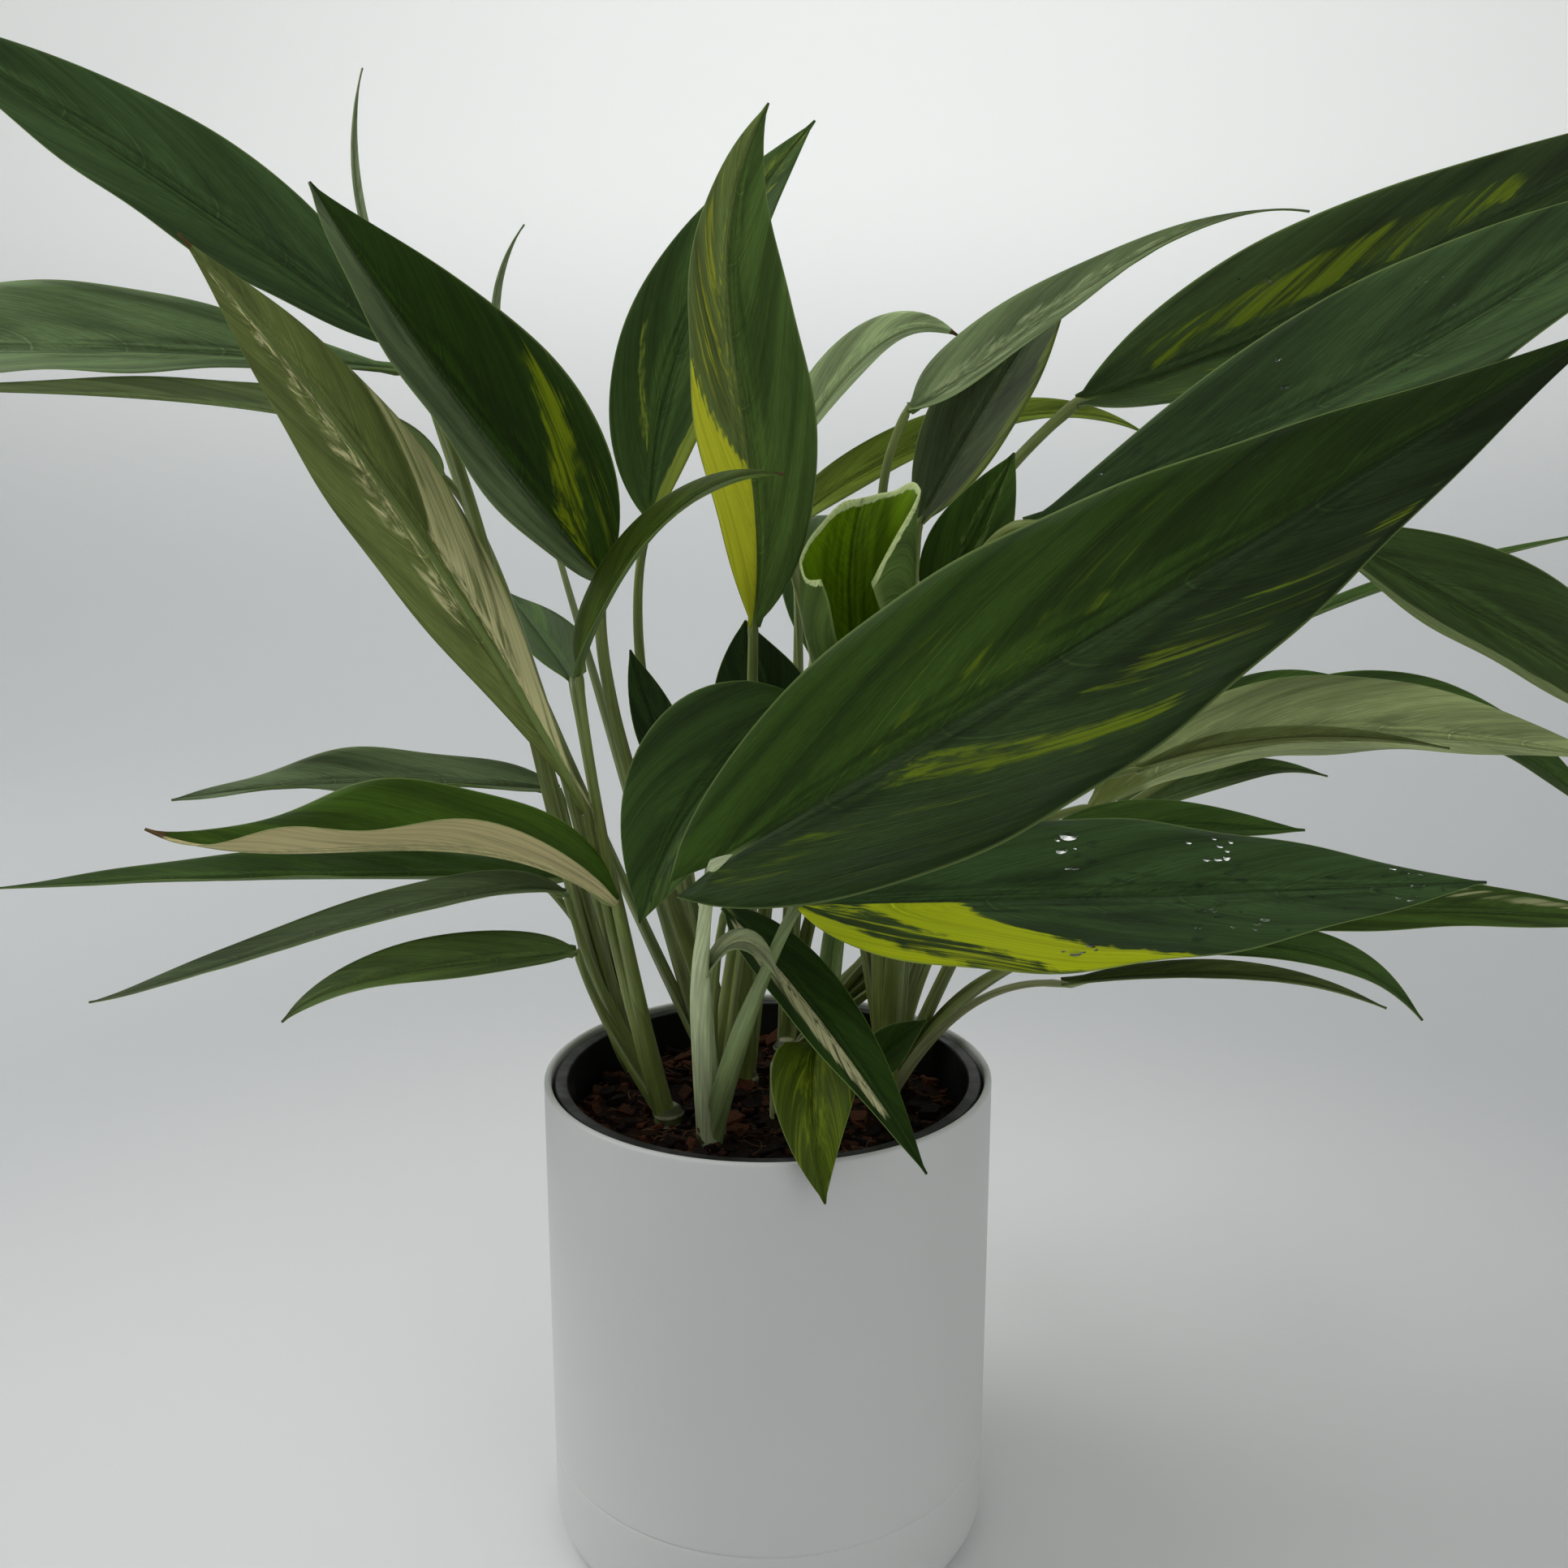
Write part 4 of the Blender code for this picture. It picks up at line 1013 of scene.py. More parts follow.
def drop_points(middle, up, along, radius, dice):
    """A low dome of water with an uneven outline. Its foot is just inside the leaf."""
    turns = circle(DROP_SIDES)
    uneven = 1.0 + 0.10 * np.sin(2 * turns + dice.uniform(0, 6))
    uneven = uneven + 0.05 * np.sin(3 * turns + dice.uniform(0, 6))
    side = np.cross(up, along)
    rise = radius * dice.uniform(*DROP_RISES)
    long = dice.uniform(*DROP_LENGTHS)
    rings = []
    for angle in np.radians(DROP_ANGLES):
        level = 0.5 * BLADE_THICKNESS - DROP_SUNK + rise * math.sin(angle)
        rings.append(oval(middle + level * up, turns, radius * math.cos(angle) * uneven, along, side, long))
    return np.concatenate(rings)


def add_drops(material):
    """Drops strewn over the wet leaves, none on a midrib, over an edge or in another drop."""
    dice = np.random.default_rng(DROP_SEED)
    leaves = {name: leaf for stem in LEAFY_STEMS.values() for name, leaf in stem.leaves.items()}
    points, faces = [], []
    for name, wet in WET_LEAVES.items():
        leaf = leaves[name]
        placed = []
        for _ in range(wet.count):
            share = dice.uniform(*wet.along)
            across = dice.uniform(*wet.across)
            radius = random_size(dice, wet.size, DROP_BIAS)
            room = half_width(leaf, share) * (1.0 - abs(across))
            if room < radius + DROP_EDGE_GAP or abs(across) < DROP_RIB_GAP:
                continue
            middle, up, along = drop_frame(leaf, share, across)
            if any(np.linalg.norm(middle - other) < radius + wide + DROP_GAP for other, wide in placed):
                continue
            placed.append((middle, radius))
            faces += rod_faces(len(DROP_ANGLES), DROP_SIDES, len(points) * len(DROP_ANGLES) * DROP_SIDES)
            points.append(drop_points(middle, up, along, radius, dice))
    put("water_drops", smooth_mesh("water_drops", np.concatenate(points), faces), [material])


# Pots and soil
def arc(middle, radius, start, end):
    """Points on an arc in the profile's plane, with the angles in degrees from the outward direction."""
    angles = np.radians(np.linspace(start, end, ARC_STEPS + 1))
    return [(middle[0] + radius * math.cos(angle), middle[1] + radius * math.sin(angle)) for angle in angles]


def turned_mesh(name, profile, sharp_degrees):
    """The profile of (radius, height) points turned about Z. A flat face closes each end."""
    faces = rod_faces(len(profile), TURN_STEPS, flip=True)
    return smooth_mesh(name, turned_points(profile, TURN_STEPS), faces, sharp_degrees)


def outer_pot_mesh():
    inner = POT_RADIUS - POT_WALL
    inner_round = POT_FOOT_ROUND - POT_WALL
    groove_low = POT_GROOVE_HEIGHT - POT_GROOVE_HALF_WIDTH
    groove_high = POT_GROOVE_HEIGHT + POT_GROOVE_HALF_WIDTH
    profile = [(0.5 * inner, POT_FLOOR)]
    profile += arc((inner - inner_round, POT_FLOOR + inner_round), inner_round, -90, 0)
    profile += arc((inner + POT_LIP_ROUND, POT_HEIGHT - POT_LIP_ROUND), POT_LIP_ROUND, 180, 90)
    profile += arc((POT_RADIUS - POT_LIP_ROUND, POT_HEIGHT - POT_LIP_ROUND), POT_LIP_ROUND, 90, 0)
    profile += [(POT_RADIUS, height) for height in np.linspace(POT_HEIGHT - 2.0, groove_high + 1.0, 12)]
    profile += [(POT_RADIUS, groove_high + 0.2), (POT_RADIUS - 0.05, groove_high)]
    profile += [(POT_RADIUS - 0.6 * POT_GROOVE_DEPTH, groove_high - 0.25)]
    profile += [(POT_RADIUS - POT_GROOVE_DEPTH, POT_GROOVE_HEIGHT)]
    profile += [(POT_RADIUS - 0.6 * POT_GROOVE_DEPTH, groove_low + 0.25)]
    profile += [(POT_RADIUS - 0.05, groove_low), (POT_RADIUS, groove_low - 0.2)]
    profile += [(POT_RADIUS, groove_low - 1.0), (POT_RADIUS, POT_FOOT_ROUND + 1.0)]
    profile += arc((POT_RADIUS - POT_FOOT_ROUND, POT_FOOT_ROUND), POT_FOOT_ROUND, 0, -90)
    profile += [(0.5 * inner, 0.0)]
    return turned_mesh("outer_pot_fine", profile, sharp_degrees=50)


def grow_wall_inside(height):
    """The grow pot's inner radius at this height: a plain taper from its rim to its floor."""
    foot = GROW_FOOT_RADIUS - GROW_WALL
    share = (height - GROW_FOOT) / (GROW_RIM_TOP - GROW_FOOT)
    return foot + (GROW_RIM_RADIUS - GROW_RIM_WIDTH - foot) * share


def grow_pot_mesh():
    edge = GROW_EDGE_ROUND
    inner_rim = grow_wall_inside(GROW_RIM_TOP)
    ring = GROW_FOOT_RADIUS - GROW_FOOT_RING
    recess = GROW_FLOOR_UNDER - GROW_FOOT
    profile = [(GROW_FLOOR_MIDDLE, GROW_FLOOR_TOP), (grow_wall_inside(GROW_FLOOR_TOP), GROW_FLOOR_TOP)]
    profile += [(grow_wall_inside(GROW_RIM_TOP - 1.6 * edge), GROW_RIM_TOP - 1.6 * edge)]
    profile += arc((inner_rim + edge, GROW_RIM_TOP - edge), edge, 170, 90)
    profile += arc((GROW_RIM_RADIUS - edge, GROW_RIM_TOP - edge), edge, 90, 0)
    profile += [
        (GROW_RIM_RADIUS, GROW_RIM_TOP - GROW_RIM_SKIRT),
        (GROW_RIM_RADIUS - GROW_WALL, GROW_RIM_TOP - GROW_RIM_SKIRT),
        (GROW_RIM_RADIUS - GROW_WALL, GROW_RIM_TOP - GROW_WALL),
        (inner_rim + GROW_WALL, GROW_RIM_TOP - GROW_WALL),
        (GROW_FOOT_RADIUS, GROW_FOOT + edge),
        (GROW_FOOT_RADIUS - edge, GROW_FOOT),
        (ring, GROW_FOOT),
        (ring - recess, GROW_FLOOR_UNDER),
        (GROW_FLOOR_MIDDLE, GROW_FLOOR_UNDER),
    ]
    return turned_mesh("grow_pot_fine", profile, sharp_degrees=40)


def drain_mesh(name):
    """Plugs for cutting the drain holes."""
    walls = [(DRAIN_HOLE_RADIUS, GROW_FLOOR_UNDER - 1.0), (DRAIN_HOLE_RADIUS, GROW_FLOOR_TOP + 1.0)]
    points, faces = [], []
    for angle in circle(DRAIN_HOLES):
        middle = (DRAIN_CIRCLE_RADIUS * math.cos(angle), DRAIN_CIRCLE_RADIUS * math.sin(angle), 0.0)
        faces += rod_faces(len(walls), DRAIN_SIDES, len(points) * len(walls) * DRAIN_SIDES)
        points.append(turned_points(walls, DRAIN_SIDES) + middle)
    return smooth_mesh(name, np.concatenate(points), faces)


def add_grow_pot(material):
    pot = put("grow_pot_fine", grow_pot_mesh(), [material], "grow_pot")
    plugs = bpy.data.objects.new("drain_plugs", drain_mesh("drain_plugs"))
    bpy.context.scene.collection.objects.link(plugs)
    cut = pot.modifiers.new("drains", "BOOLEAN")
    cut.object = plugs
    graph = bpy.context.evaluated_depsgraph_get()
    mesh = bpy.data.meshes.new_from_object(pot.evaluated_get(graph))
    pot.modifiers.clear()
    pot.data = mesh
    bpy.data.objects.remove(plugs)


def soil_level(x, y):
    """The height of the soil's surface, with its lumps."""
    edge = grow_wall_inside(SOIL_TOP) - SOIL_GAP
    dip = SOIL_EDGE_DIP * fade(np.hypot(x, y), SOIL_FLAT_RADIUS, edge)
    lumps = np.sin(0.31 * x + 1.1) * np.sin(0.27 * y + 0.4)
    lumps = lumps + 0.6 * np.sin(0.71 * x - 0.5 * y) * np.sin(0.63 * y + 0.4 * x)
    lumps = lumps + 0.4 * np.sin(1.7 * x + 0.9 * y) * np.sin(1.5 * y - 1.1 * x)
    return SOIL_TOP - SOIL_SUNK - dip + SOIL_LUMPS * lumps


def soil_mesh():
    turns = circle(TURN_STEPS)
    edge = grow_wall_inside(SOIL_TOP - SOIL_EDGE_DIP) - SOIL_GAP
    foot = grow_wall_inside(SOIL_FOOT) - SOIL_GAP
    rings = []
    for radius in np.linspace(1.0, edge, SOIL_RINGS):
        x, y = radius * np.cos(turns), radius * np.sin(turns)
        rings.append(table(x, y, soil_level(x, y)))
    rings.append(turned_points([(foot, SOIL_FOOT)], TURN_STEPS))
    faces = rod_faces(len(rings), TURN_STEPS, flip=True)
    return smooth_mesh("soil_fine", np.concatenate(rings), faces, sharp_degrees=60)


CHIP_CORNERS = np.array([(x, y, z) for z in (-1, 1) for y in (-1, 1) for x in (-1, 0, 1)], float)
CHIP_FACES = (
    (0, 3, 4, 1), (1, 4, 5, 2), (6, 7, 10, 9), (7, 8, 11, 10), (0, 1, 7, 6), (1, 2, 8, 7), (3, 9, 10, 4),
    (4, 10, 11, 5), (0, 6, 9, 3), (2, 5, 11, 8),
)


def turn_matrix(dice, lean):
    """A random turn about Z after a small random lean."""
    spin = dice.uniform(0.0, FULL_TURN)
    tip = dice.uniform(-lean, lean)
    flat = np.array(((math.cos(spin), -math.sin(spin), 0), (math.sin(spin), math.cos(spin), 0), (0, 0, 1)))
    leant = np.array(((math.cos(tip), 0, math.sin(tip)), (0, 1, 0), (-math.sin(tip), 0, math.cos(tip))))
    return flat @ leant


def litter_place(dice):
    """A random place on the soil, evenly spread over it."""
    reach = grow_wall_inside(SOIL_TOP) - LITTER_EDGE_GAP
    radius = reach * math.sqrt(dice.uniform())
    turn = dice.uniform(0.0, FULL_TURN)
    x, y = radius * math.cos(turn), radius * math.sin(turn)
    return x, y, float(soil_level(x, y))


def add_chips(material):
    """Chips of bark and crumbs, lying on the soil at all angles."""
    dice = np.random.default_rng(CHIP_SEED)
    points, faces, shades = [], [], []
    for _ in range(CHIPS):
        size = random_size(dice, CHIP_LENGTHS, CHIP_BIAS)
        half = 0.5 * size * np.array((1.0, dice.uniform(*CHIP_WIDTHS), dice.uniform(*CHIP_HEIGHTS)))
        shape = CHIP_CORNERS * half * dice.uniform(*CHIP_CORNER_REACH, CHIP_CORNERS.shape)
        shape[:, 0] += half[0] * dice.uniform(-0.12, 0.12, len(shape))
        shape = shape @ turn_matrix(dice, CHIP_LEAN).T
        x, y, z = litter_place(dice)
        first = len(CHIP_CORNERS) * len(points)
        points.append(shape + (x, y, z + 0.35 * half[2] + dice.uniform(0.0, 0.8)))
        faces += [tuple(first + corner for corner in face) for face in CHIP_FACES]
        shades.append(np.full(len(CHIP_CORNERS), dice.uniform()))
    mesh = smooth_mesh("bark_chips", np.concatenate(points), faces, sharp_degrees=25)
    layer = mesh.attributes.new("shade", "FLOAT", "POINT")
    layer.data.foreach_set("value", np.concatenate(shades))
    piece = put("bark_chips", mesh, [material])
    bevel = piece.modifiers.new("worn", "BEVEL")
    bevel.width = CHIP_WEAR * MM
    bevel.segments = 1


def add_fibres(material):
    """Fine coir fibres, bent and strewn over the soil."""
    dice = np.random.default_rng(FIBRE_SEED)
    turns = np.radians((90.0, 210.0, 330.0))
    reach = grow_wall_inside(SOIL_TOP) - FIBRE_EDGE_GAP
    points, faces = [], []
    for _ in range(FIBRES):
        x, y, _ = litter_place(dice)
        heading = dice.uniform(0.0, FULL_TURN)
        bend = dice.uniform(-FIBRE_BEND, FIBRE_BEND)
        pace = dice.uniform(*FIBRE_PACES)
        faces += rod_faces(FIBRE_STEPS, len(turns), len(points) * len(turns))
        for i in range(FIBRE_STEPS):
            level = float(soil_level(x, y)) + 0.7 + 0.5 * math.sin(1.3 * i + heading)
            across = (-math.sin(heading), math.cos(heading), 0.0)
            points.append(oval(np.array((x, y, level)), turns, FIBRE_RADIUS, across, (0.0, 0.0, 1.0)))
            x, y = x + pace * math.cos(heading), y + pace * math.sin(heading)
            beyond = max(1.0, math.hypot(x, y) / reach)
            x, y = x / beyond, y / beyond
            heading += bend
    put("coir_fibres", smooth_mesh("coir_fibres", np.concatenate(points), faces), [material])


# Materials
class Shading:
    """One material's nodes, with a short call for each kind of node that the materials use."""

    def __init__(self, name, **plain):
        self.material = bpy.data.materials.new(name)
        self.material.use_nodes = True
        self.tree = self.material.node_tree
        self.shader = self.tree.nodes["Principled BSDF"]
        for socket, value in plain.items():
            self.shader.inputs[socket.replace("_", " ")].default_value = value

    def node(self, kind, **settings):
        made = self.tree.nodes.new(kind)
        for name, value in settings.items():
            setattr(made, name, value)
        return made

    def feed(self, socket, value):
        if isinstance(value, bpy.types.NodeSocket):
            self.tree.links.new(value, socket)
        else:
            socket.default_value = value

    def fill(self, node, *values):
        for socket, value in zip(node.inputs, values):
            self.feed(socket, value)
        return node.outputs[0]

    def math(self, operation, first, second=0.0):
        return self.fill(self.node("ShaderNodeMath", operation=operation), first, second)

    def times(self, first, second):
        return self.math("MULTIPLY", first, second)

    def plus(self, first, second):
        return self.math("ADD", first, second)

    def minus(self, first, second):
        return self.math("SUBTRACT", first, second)

    def between(self, value, low, high, start=0.0, end=1.0):
        """Smoothly from start, where the value is low, to end, where it is high."""
        made = self.node("ShaderNodeMapRange", interpolation_type="SMOOTHSTEP")
        return self.fill(made, value, low, high, start, end)

    def spread(self, noise, start, end):
        """Smoothly from start to end over the middle range that a noise mostly lies in."""
        return self.between(noise, 0.3, 0.7, start, end)

    def value(self, name):
        """The x, y and z of a mesh value."""
        return self.parts(self.node("ShaderNodeAttribute", attribute_name=name).outputs["Vector"])

    def parts(self, vector):
        made = self.node("ShaderNodeSeparateXYZ")
        self.feed(made.inputs[0], vector)
        return made.outputs

    def colour(self, name):
        return self.node("ShaderNodeAttribute", attribute_name=name).outputs["Color"]

    def stretched(self, along, along_scale, across, across_scale, third):
        """A place for a noise that is drawn out in one of a mesh value's directions."""
        made = self.node("ShaderNodeCombineXYZ")
        return self.fill(made, self.times(along, along_scale), self.times(across, across_scale), third)

    def place(self):
        return self.node("ShaderNodeTexCoord").outputs["Object"]

    def noise(self, where, scale, detail=3.0, distortion=0.0, roughness=0.5):
        made = self.node("ShaderNodeTexNoise")
        made.inputs["Roughness"].default_value = roughness
        self.feed(made.inputs["Vector"], where)
        made.inputs["Scale"].default_value = scale
        made.inputs["Detail"].default_value = detail
        made.inputs["Distortion"].default_value = distortion
        return made.outputs["Fac"]

    def mix(self, share, first, second):
        made = self.node("ShaderNodeMix", data_type="RGBA")
        self.feed(made.inputs["Factor"], share)
        self.feed(made.inputs[6], first)
        self.feed(made.inputs[7], second)
        return made.outputs[2]

    def brighter(self, colour, factor):
        made = self.node("ShaderNodeHueSaturation")
        self.feed(made.inputs["Color"], colour)
        self.feed(made.inputs["Value"], factor)
        return made.outputs[0]

    def bump(self, height, depth_mm):
        made = self.node("ShaderNodeBump")
        made.inputs["Distance"].default_value = depth_mm * MM
        self.feed(made.inputs["Height"], height)
        self.feed(self.shader.inputs["Normal"], made.outputs[0])

    def paint(self, colour, roughness):
        """The finished material with this colour and roughness."""
        self.feed(self.shader.inputs["Base Color"], colour)
        self.feed(self.shader.inputs["Roughness"], roughness)
        return self.material


# Colours of the materials
BROWN_TIP = (0.11, 0.065, 0.022, 1.0)
PALE_EDGE = (0.24, 0.33, 0.10, 1.0)
SHEATH_TONES = (0.42, 0.44, 0.26, 1.0), (0.22, 0.15, 0.07, 1.0)
POT_WHITES = (0.64, 0.645, 0.64, 1.0), (0.70, 0.705, 0.70, 1.0)
PLASTIC_BLACKS = (0.006, 0.006, 0.0065, 1.0), (0.020, 0.019, 0.018, 1.0)
COMPOST_BROWNS = (0.006, 0.0035, 0.002, 1.0), (0.018, 0.009, 0.005, 1.0)
CRUMB_BROWN = (0.050, 0.022, 0.011, 1.0)
BARK_BROWNS = (0.008, 0.004, 0.003, 1.0), (0.070, 0.025, 0.011, 1.0)
COIR_BROWNS = (0.05, 0.022, 0.010, 1.0), (0.17, 0.085, 0.040, 1.0)
WHITE = (1.0, 1.0, 1.0, 1.0)


def blade_material(name, roughness, rib_run, gloss):
    """Waxy leaf: green in long soft bands, with pale streaks along the side veins and a fine pale margin.

    rib_run is the share of the length over which the midrib is pale.
    """
    leaf = Shading(name, Specular_IOR_Level=gloss)
    vein_run, distance, seed = leaf.value("grain")
    out, share, vein = leaf.value("spot")
    pale, dry, mottle = leaf.value("patch")
    streaks = leaf.noise(leaf.stretched(vein_run, 0.16, distance, 0.07, seed), 1.0, 6.0, 0.5, 0.62)
    bands = leaf.noise(leaf.stretched(vein_run, 0.035, distance, 0.04, seed), 1.0, 2.0)
    threads = leaf.noise(leaf.stretched(vein_run, 0.9, distance, 0.12, seed), 1.0, 3.0)
    specks = leaf.noise(leaf.stretched(vein_run, 0.5, distance, 1.0, seed), 0.9, 4.0)

    green = leaf.brighter(leaf.colour("green"), leaf.spread(bands, 0.68, 1.38))
    green = leaf.brighter(green, leaf.spread(threads, 0.88, 1.12))
    green = leaf.brighter(green, leaf.spread(specks, 0.90, 1.10))

    # The pale parts, streaked more strongly the paler they are
    swing = leaf.times(leaf.minus(streaks, 0.5), leaf.between(pale, 0.0, 0.6, 0.9, 2.6))
    level = leaf.plus(leaf.plus(pale, swing), leaf.times(mottle, 0.35))
    tint = leaf.brighter(leaf.colour("tint"), leaf.spread(threads, 0.90, 1.08))
    ground = leaf.mix(leaf.between(pale, 0.3, 1.0, 0.0, 0.3), green, leaf.colour("tint"))
    tinted = leaf.mix(leaf.between(level, 0.30, 0.74), ground, tint)

    # The side veins, each a pale line in a valley darkened by painted shade, the midrib, darkened by painted
    # shade in its groove, and the margin
    phase = leaf.math("ABSOLUTE", leaf.minus(leaf.math("FRACT", leaf.plus(vein, 0.5)), 0.5))
    # Painted shade: the blade darkens to 0.82 in the valley along each side vein
    vein_valley_shade = leaf.brighter(tinted, leaf.between(phase, 0.0, 0.16, 0.82, 1.0))
    line = leaf.times(leaf.between(phase, 0.024, 0.0, 0.0, 0.6), leaf.between(out, 0.85, 0.4))
    veined = leaf.mix(leaf.times(line, leaf.between(bands, 0.3, 0.55)), vein_valley_shade, leaf.brighter(vein_valley_shade, 2.2))
    # Painted shade: a dark line along the midrib, where its groove lies in shadow
    rib_groove_shade = leaf.mix(leaf.between(distance, 0.7, 0.2, 0.0, 0.5), veined, leaf.brighter(veined, 0.45))
    rib = leaf.times(leaf.between(distance, 0.9, 0.3), leaf.between(share, rib_run, 0.0, 0.0, 0.7))
    ribbed = leaf.mix(rib, rib_groove_shade, PALE_EDGE)
    edged = leaf.mix(leaf.between(out, 0.97, 1.0, 0.0, 0.6), ribbed, PALE_EDGE)

    worn = leaf.plus(dry, leaf.times(leaf.minus(specks, 0.5), 0.6))
    brown = leaf.times(leaf.between(worn, 0.35, 0.6), leaf.between(dry, 0.0, 0.1))
    leaf.bump(leaf.plus(leaf.times(threads, 0.7), leaf.times(specks, 0.5)), 0.16)
    colour = leaf.mix(brown, edged, BROWN_TIP)
    return leaf.paint(colour, leaf.spread(bands, roughness - 0.05, roughness + 0.07))


def stalk_material():
    """A smooth green stalk, streaked along its length, with the sheath's thin edges pale."""
    stalk = Shading("stalk", Specular_IOR_Level=0.45)
    across, run, seed = stalk.value("grain")
    wing = stalk.value("spot")[0]
    lines = stalk.noise(stalk.stretched(across, 1.4, run, 0.05, seed), 1.0, 3.0)
    clouds = stalk.noise(stalk.stretched(across, 0.1, run, 0.03, seed), 1.0)
    green = stalk.brighter(stalk.colour("green"), stalk.between(lines, 0.25, 0.75, 0.75, 1.25))
    green = stalk.brighter(green, stalk.spread(clouds, 0.8, 1.2))
    edge = stalk.mix(stalk.between(lines, 0.55, 0.75), *SHEATH_TONES)
    colour = stalk.mix(stalk.between(wing, 0.45, 0.95, 0.0, 0.8), green, edge)
    stalk.bump(lines, 0.18)
    return stalk.paint(colour, stalk.spread(clouds, 0.36, 0.5))


def outer_pot_material():
    """Satin white, cast with a faintly uneven surface."""
    pot = Shading("outer_pot_satin", Specular_IOR_Level=0.5)
    clouds = pot.noise(pot.place(), 14.0, 3.0)
    pot.bump(pot.noise(pot.place(), 900.0, 2.0), 0.02)
    return pot.paint(pot.mix(clouds, *POT_WHITES), pot.spread(clouds, 0.40, 0.50))


def grow_pot_material():
    """Thin black moulded plastic, with dust and fine scuffs."""
    pot = Shading("grow_pot_plastic", Specular_IOR_Level=0.3)
    scuffs = pot.noise(pot.place(), 160.0, 4.0, 0.6)
    dust = pot.between(pot.noise(pot.place(), 60.0, 3.0), 0.5, 0.75)
    pot.bump(scuffs, 0.05)
    return pot.paint(pot.mix(dust, *PLASTIC_BLACKS), pot.spread(scuffs, 0.38, 0.55))


def soil_material():
    """Dark damp compost, grainy at every scale."""
    soil = Shading("soil_compost", Specular_IOR_Level=0.1)
    crumbs = soil.noise(soil.place(), 420.0, 6.0, 0.4)
    patches = soil.between(soil.noise(soil.place(), 90.0, 3.0), 0.35, 0.65)
    bits = soil.mix(soil.between(crumbs, 0.58, 0.7), soil.mix(patches, *COMPOST_BROWNS), CRUMB_BROWN)
    soil.bump(crumbs, 1.2)
    return soil.paint(bits, soil.spread(crumbs, 0.75, 0.98))


def bark_material():
    """Bark chips from near black to red brown, with a split grain."""
    bark = Shading("bark", Specular_IOR_Level=0.1)
    shade = bark.node("ShaderNodeAttribute", attribute_name="shade").outputs["Fac"]
    grain = bark.noise(bark.place(), 600.0, 5.0, 1.2)
    colour = bark.mix(bark.between(shade, 0.3, 0.95), *BARK_BROWNS)
    bark.bump(grain, 0.5)
    return bark.paint(bark.brighter(colour, bark.spread(grain, 0.55, 1.5)), bark.spread(grain, 0.65, 0.95))


def fibre_material():
    fibre = Shading("coir", Specular_IOR_Level=0.3)
    tone = fibre.noise(fibre.place(), 120.0, 3.0)
    return fibre.paint(fibre.mix(fibre.spread(tone, 0.0, 1.0), *COIR_BROWNS), fibre.spread(tone, 0.6, 0.85))


def water_material():
    """Clear drops, barely uneven."""
    water = Shading("water", IOR=1.2, Transmission_Weight=1.0)
    return water.paint(WHITE, water.spread(water.noise(water.place(), 300.0, 1.0), 0.01, 0.05))


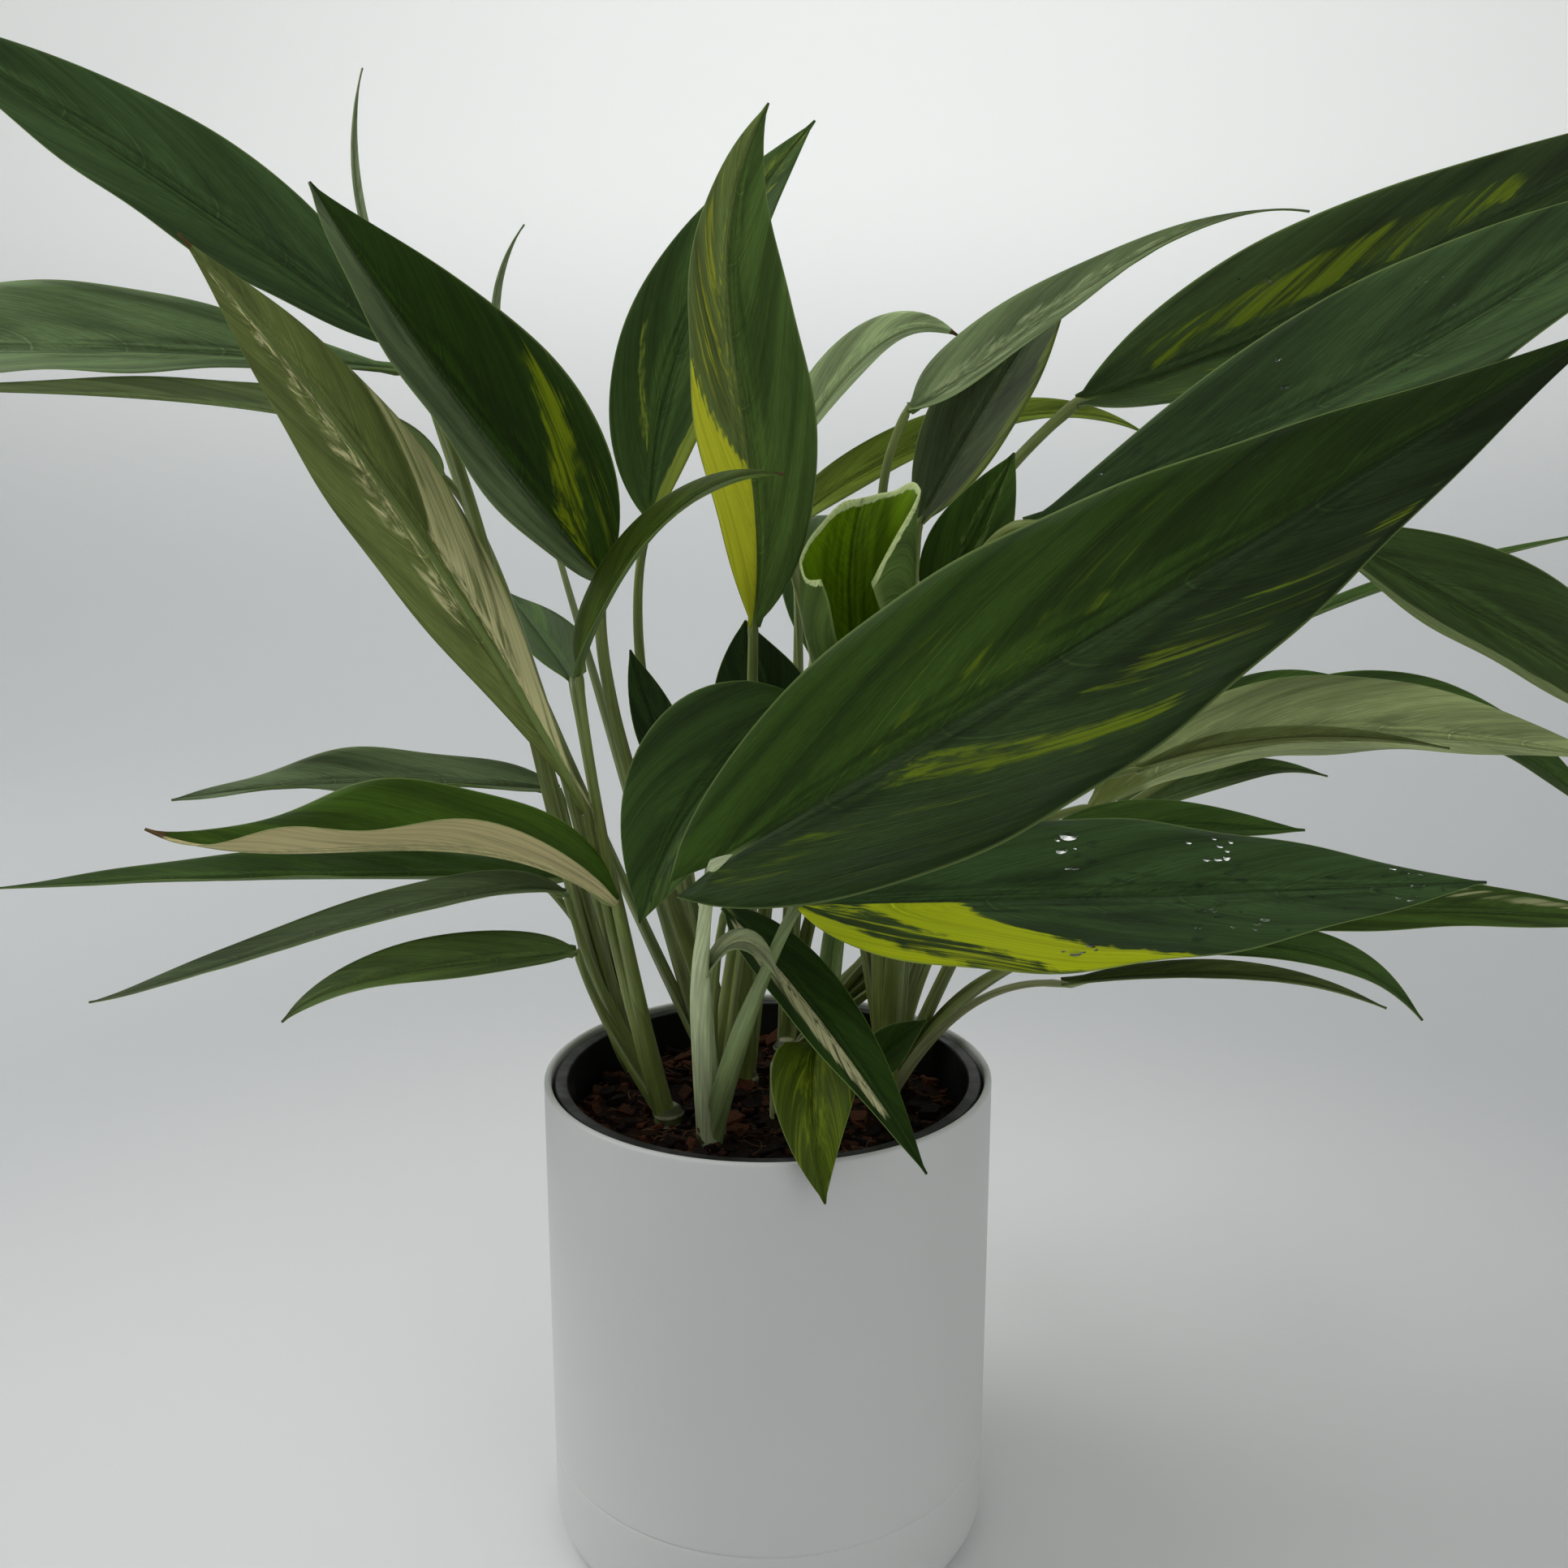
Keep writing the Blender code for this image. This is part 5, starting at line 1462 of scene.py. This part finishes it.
# The stage, the light and the camera
def add_stage():
    """A pale floor that curves up into a round wall, open above, its paper carrying painted light and shade.
    """
    profile = [(0.02, 0.0), (0.5 * STAGE_FLAT_RADIUS, 0.0), (STAGE_FLAT_RADIUS, 0.0)]
    for angle in np.radians(np.linspace(-90.0, 0.0, STAGE_CORNER_STEPS + 1))[1:]:
        out = STAGE_FLAT_RADIUS + STAGE_CORNER_RADIUS * math.cos(angle)
        profile.append((out, STAGE_CORNER_RADIUS * (1.0 + math.sin(angle))))
    profile.append((STAGE_FLAT_RADIUS + STAGE_CORNER_RADIUS, STAGE_TOP))
    faces = grid_faces(len(profile), STAGE_STEPS, closed=True)
    faces.append(tuple(range(STAGE_STEPS)))
    mesh = smooth_mesh("stage", turned_points(profile, STAGE_STEPS) / MM, faces)
    stage = bpy.data.objects.new("stage", mesh)
    bpy.context.scene.collection.objects.link(stage)
    stage.location.z = -STAGE_SUNK
    # Painted light: the paper is lighter near the camera and up the wall; painted shade darkens the floor
    # between
    paper = Shading("backdrop_paper_painted_light", Specular_IOR_Level=0.1)
    x, y, z = paper.parts(paper.place())
    reach = paper.math("SQRT", paper.plus(paper.times(x, x), paper.times(y, y)))
    floor = paper.mix(paper.between(reach, *STAGE_PAINTED_REACH), STAGE_NEAR_PAINTED_LIGHT, STAGE_FLOOR_PAINTED_SHADE)
    tone = paper.mix(paper.between(z, *STAGE_PAINTED_HEIGHTS), floor, STAGE_WALL_PAINTED_LIGHT)
    stage.data.materials.append(paper.paint(tone, 0.95))


def add_light(name, light):
    lamp = bpy.data.lights.new(name, "AREA")
    lamp.shape = "DISK"
    lamp.size = light.size
    lamp.energy = light.power
    lamp.spread = math.radians(light.spread)
    holder = bpy.data.objects.new(name, lamp)
    holder.location = light.place
    holder.rotation_euler = (Vector(light.aim) - Vector(light.place)).to_track_quat("-Z", "Y").to_euler()
    bpy.context.scene.collection.objects.link(holder)


def add_camera():
    lens = bpy.data.cameras.new("camera")
    lens.lens = CAMERA_LENS
    camera = bpy.data.objects.new("camera", lens)
    camera.location = CAMERA_PLACE
    camera.rotation_euler = (math.radians(90.0 - CAMERA_DOWN_DEGREES), 0.0, 0.0)
    bpy.context.scene.collection.objects.link(camera)
    bpy.context.scene.camera = camera


def add_sky():
    sky = bpy.data.worlds.new("studio")
    sky.use_nodes = True
    glow = sky.node_tree.nodes["Background"]
    glow.inputs["Color"].default_value = WHITE
    glow.inputs["Strength"].default_value = WORLD_STRENGTH
    bpy.context.scene.world = sky


def main():
    add_camera()
    add_sky()
    for name, light in LIGHTS.items():
        add_light(name, light)
    add_stage()
    bpy.context.scene.view_settings.view_transform = "Standard"

    plant = [
        blade_material("leaf_upper", roughness=0.42, rib_run=0.07, gloss=0.11),
        blade_material("leaf_under", roughness=0.55, rib_run=1.4, gloss=0.09),
        stalk_material(),
    ]
    dice = np.random.default_rng(PLANT_SEED)
    for name, stem in LEAFY_STEMS.items():
        add_leafy_stem(name, stem, plant, dice)
    add_stub(plant, dice)
    add_drops(water_material())
    put("outer_pot_fine", outer_pot_mesh(), [outer_pot_material()], "outer_pot")
    add_grow_pot(grow_pot_material())
    put("soil_fine", soil_mesh(), [soil_material()], "soil")
    add_chips(bark_material())
    add_fibres(fibre_material())


main()
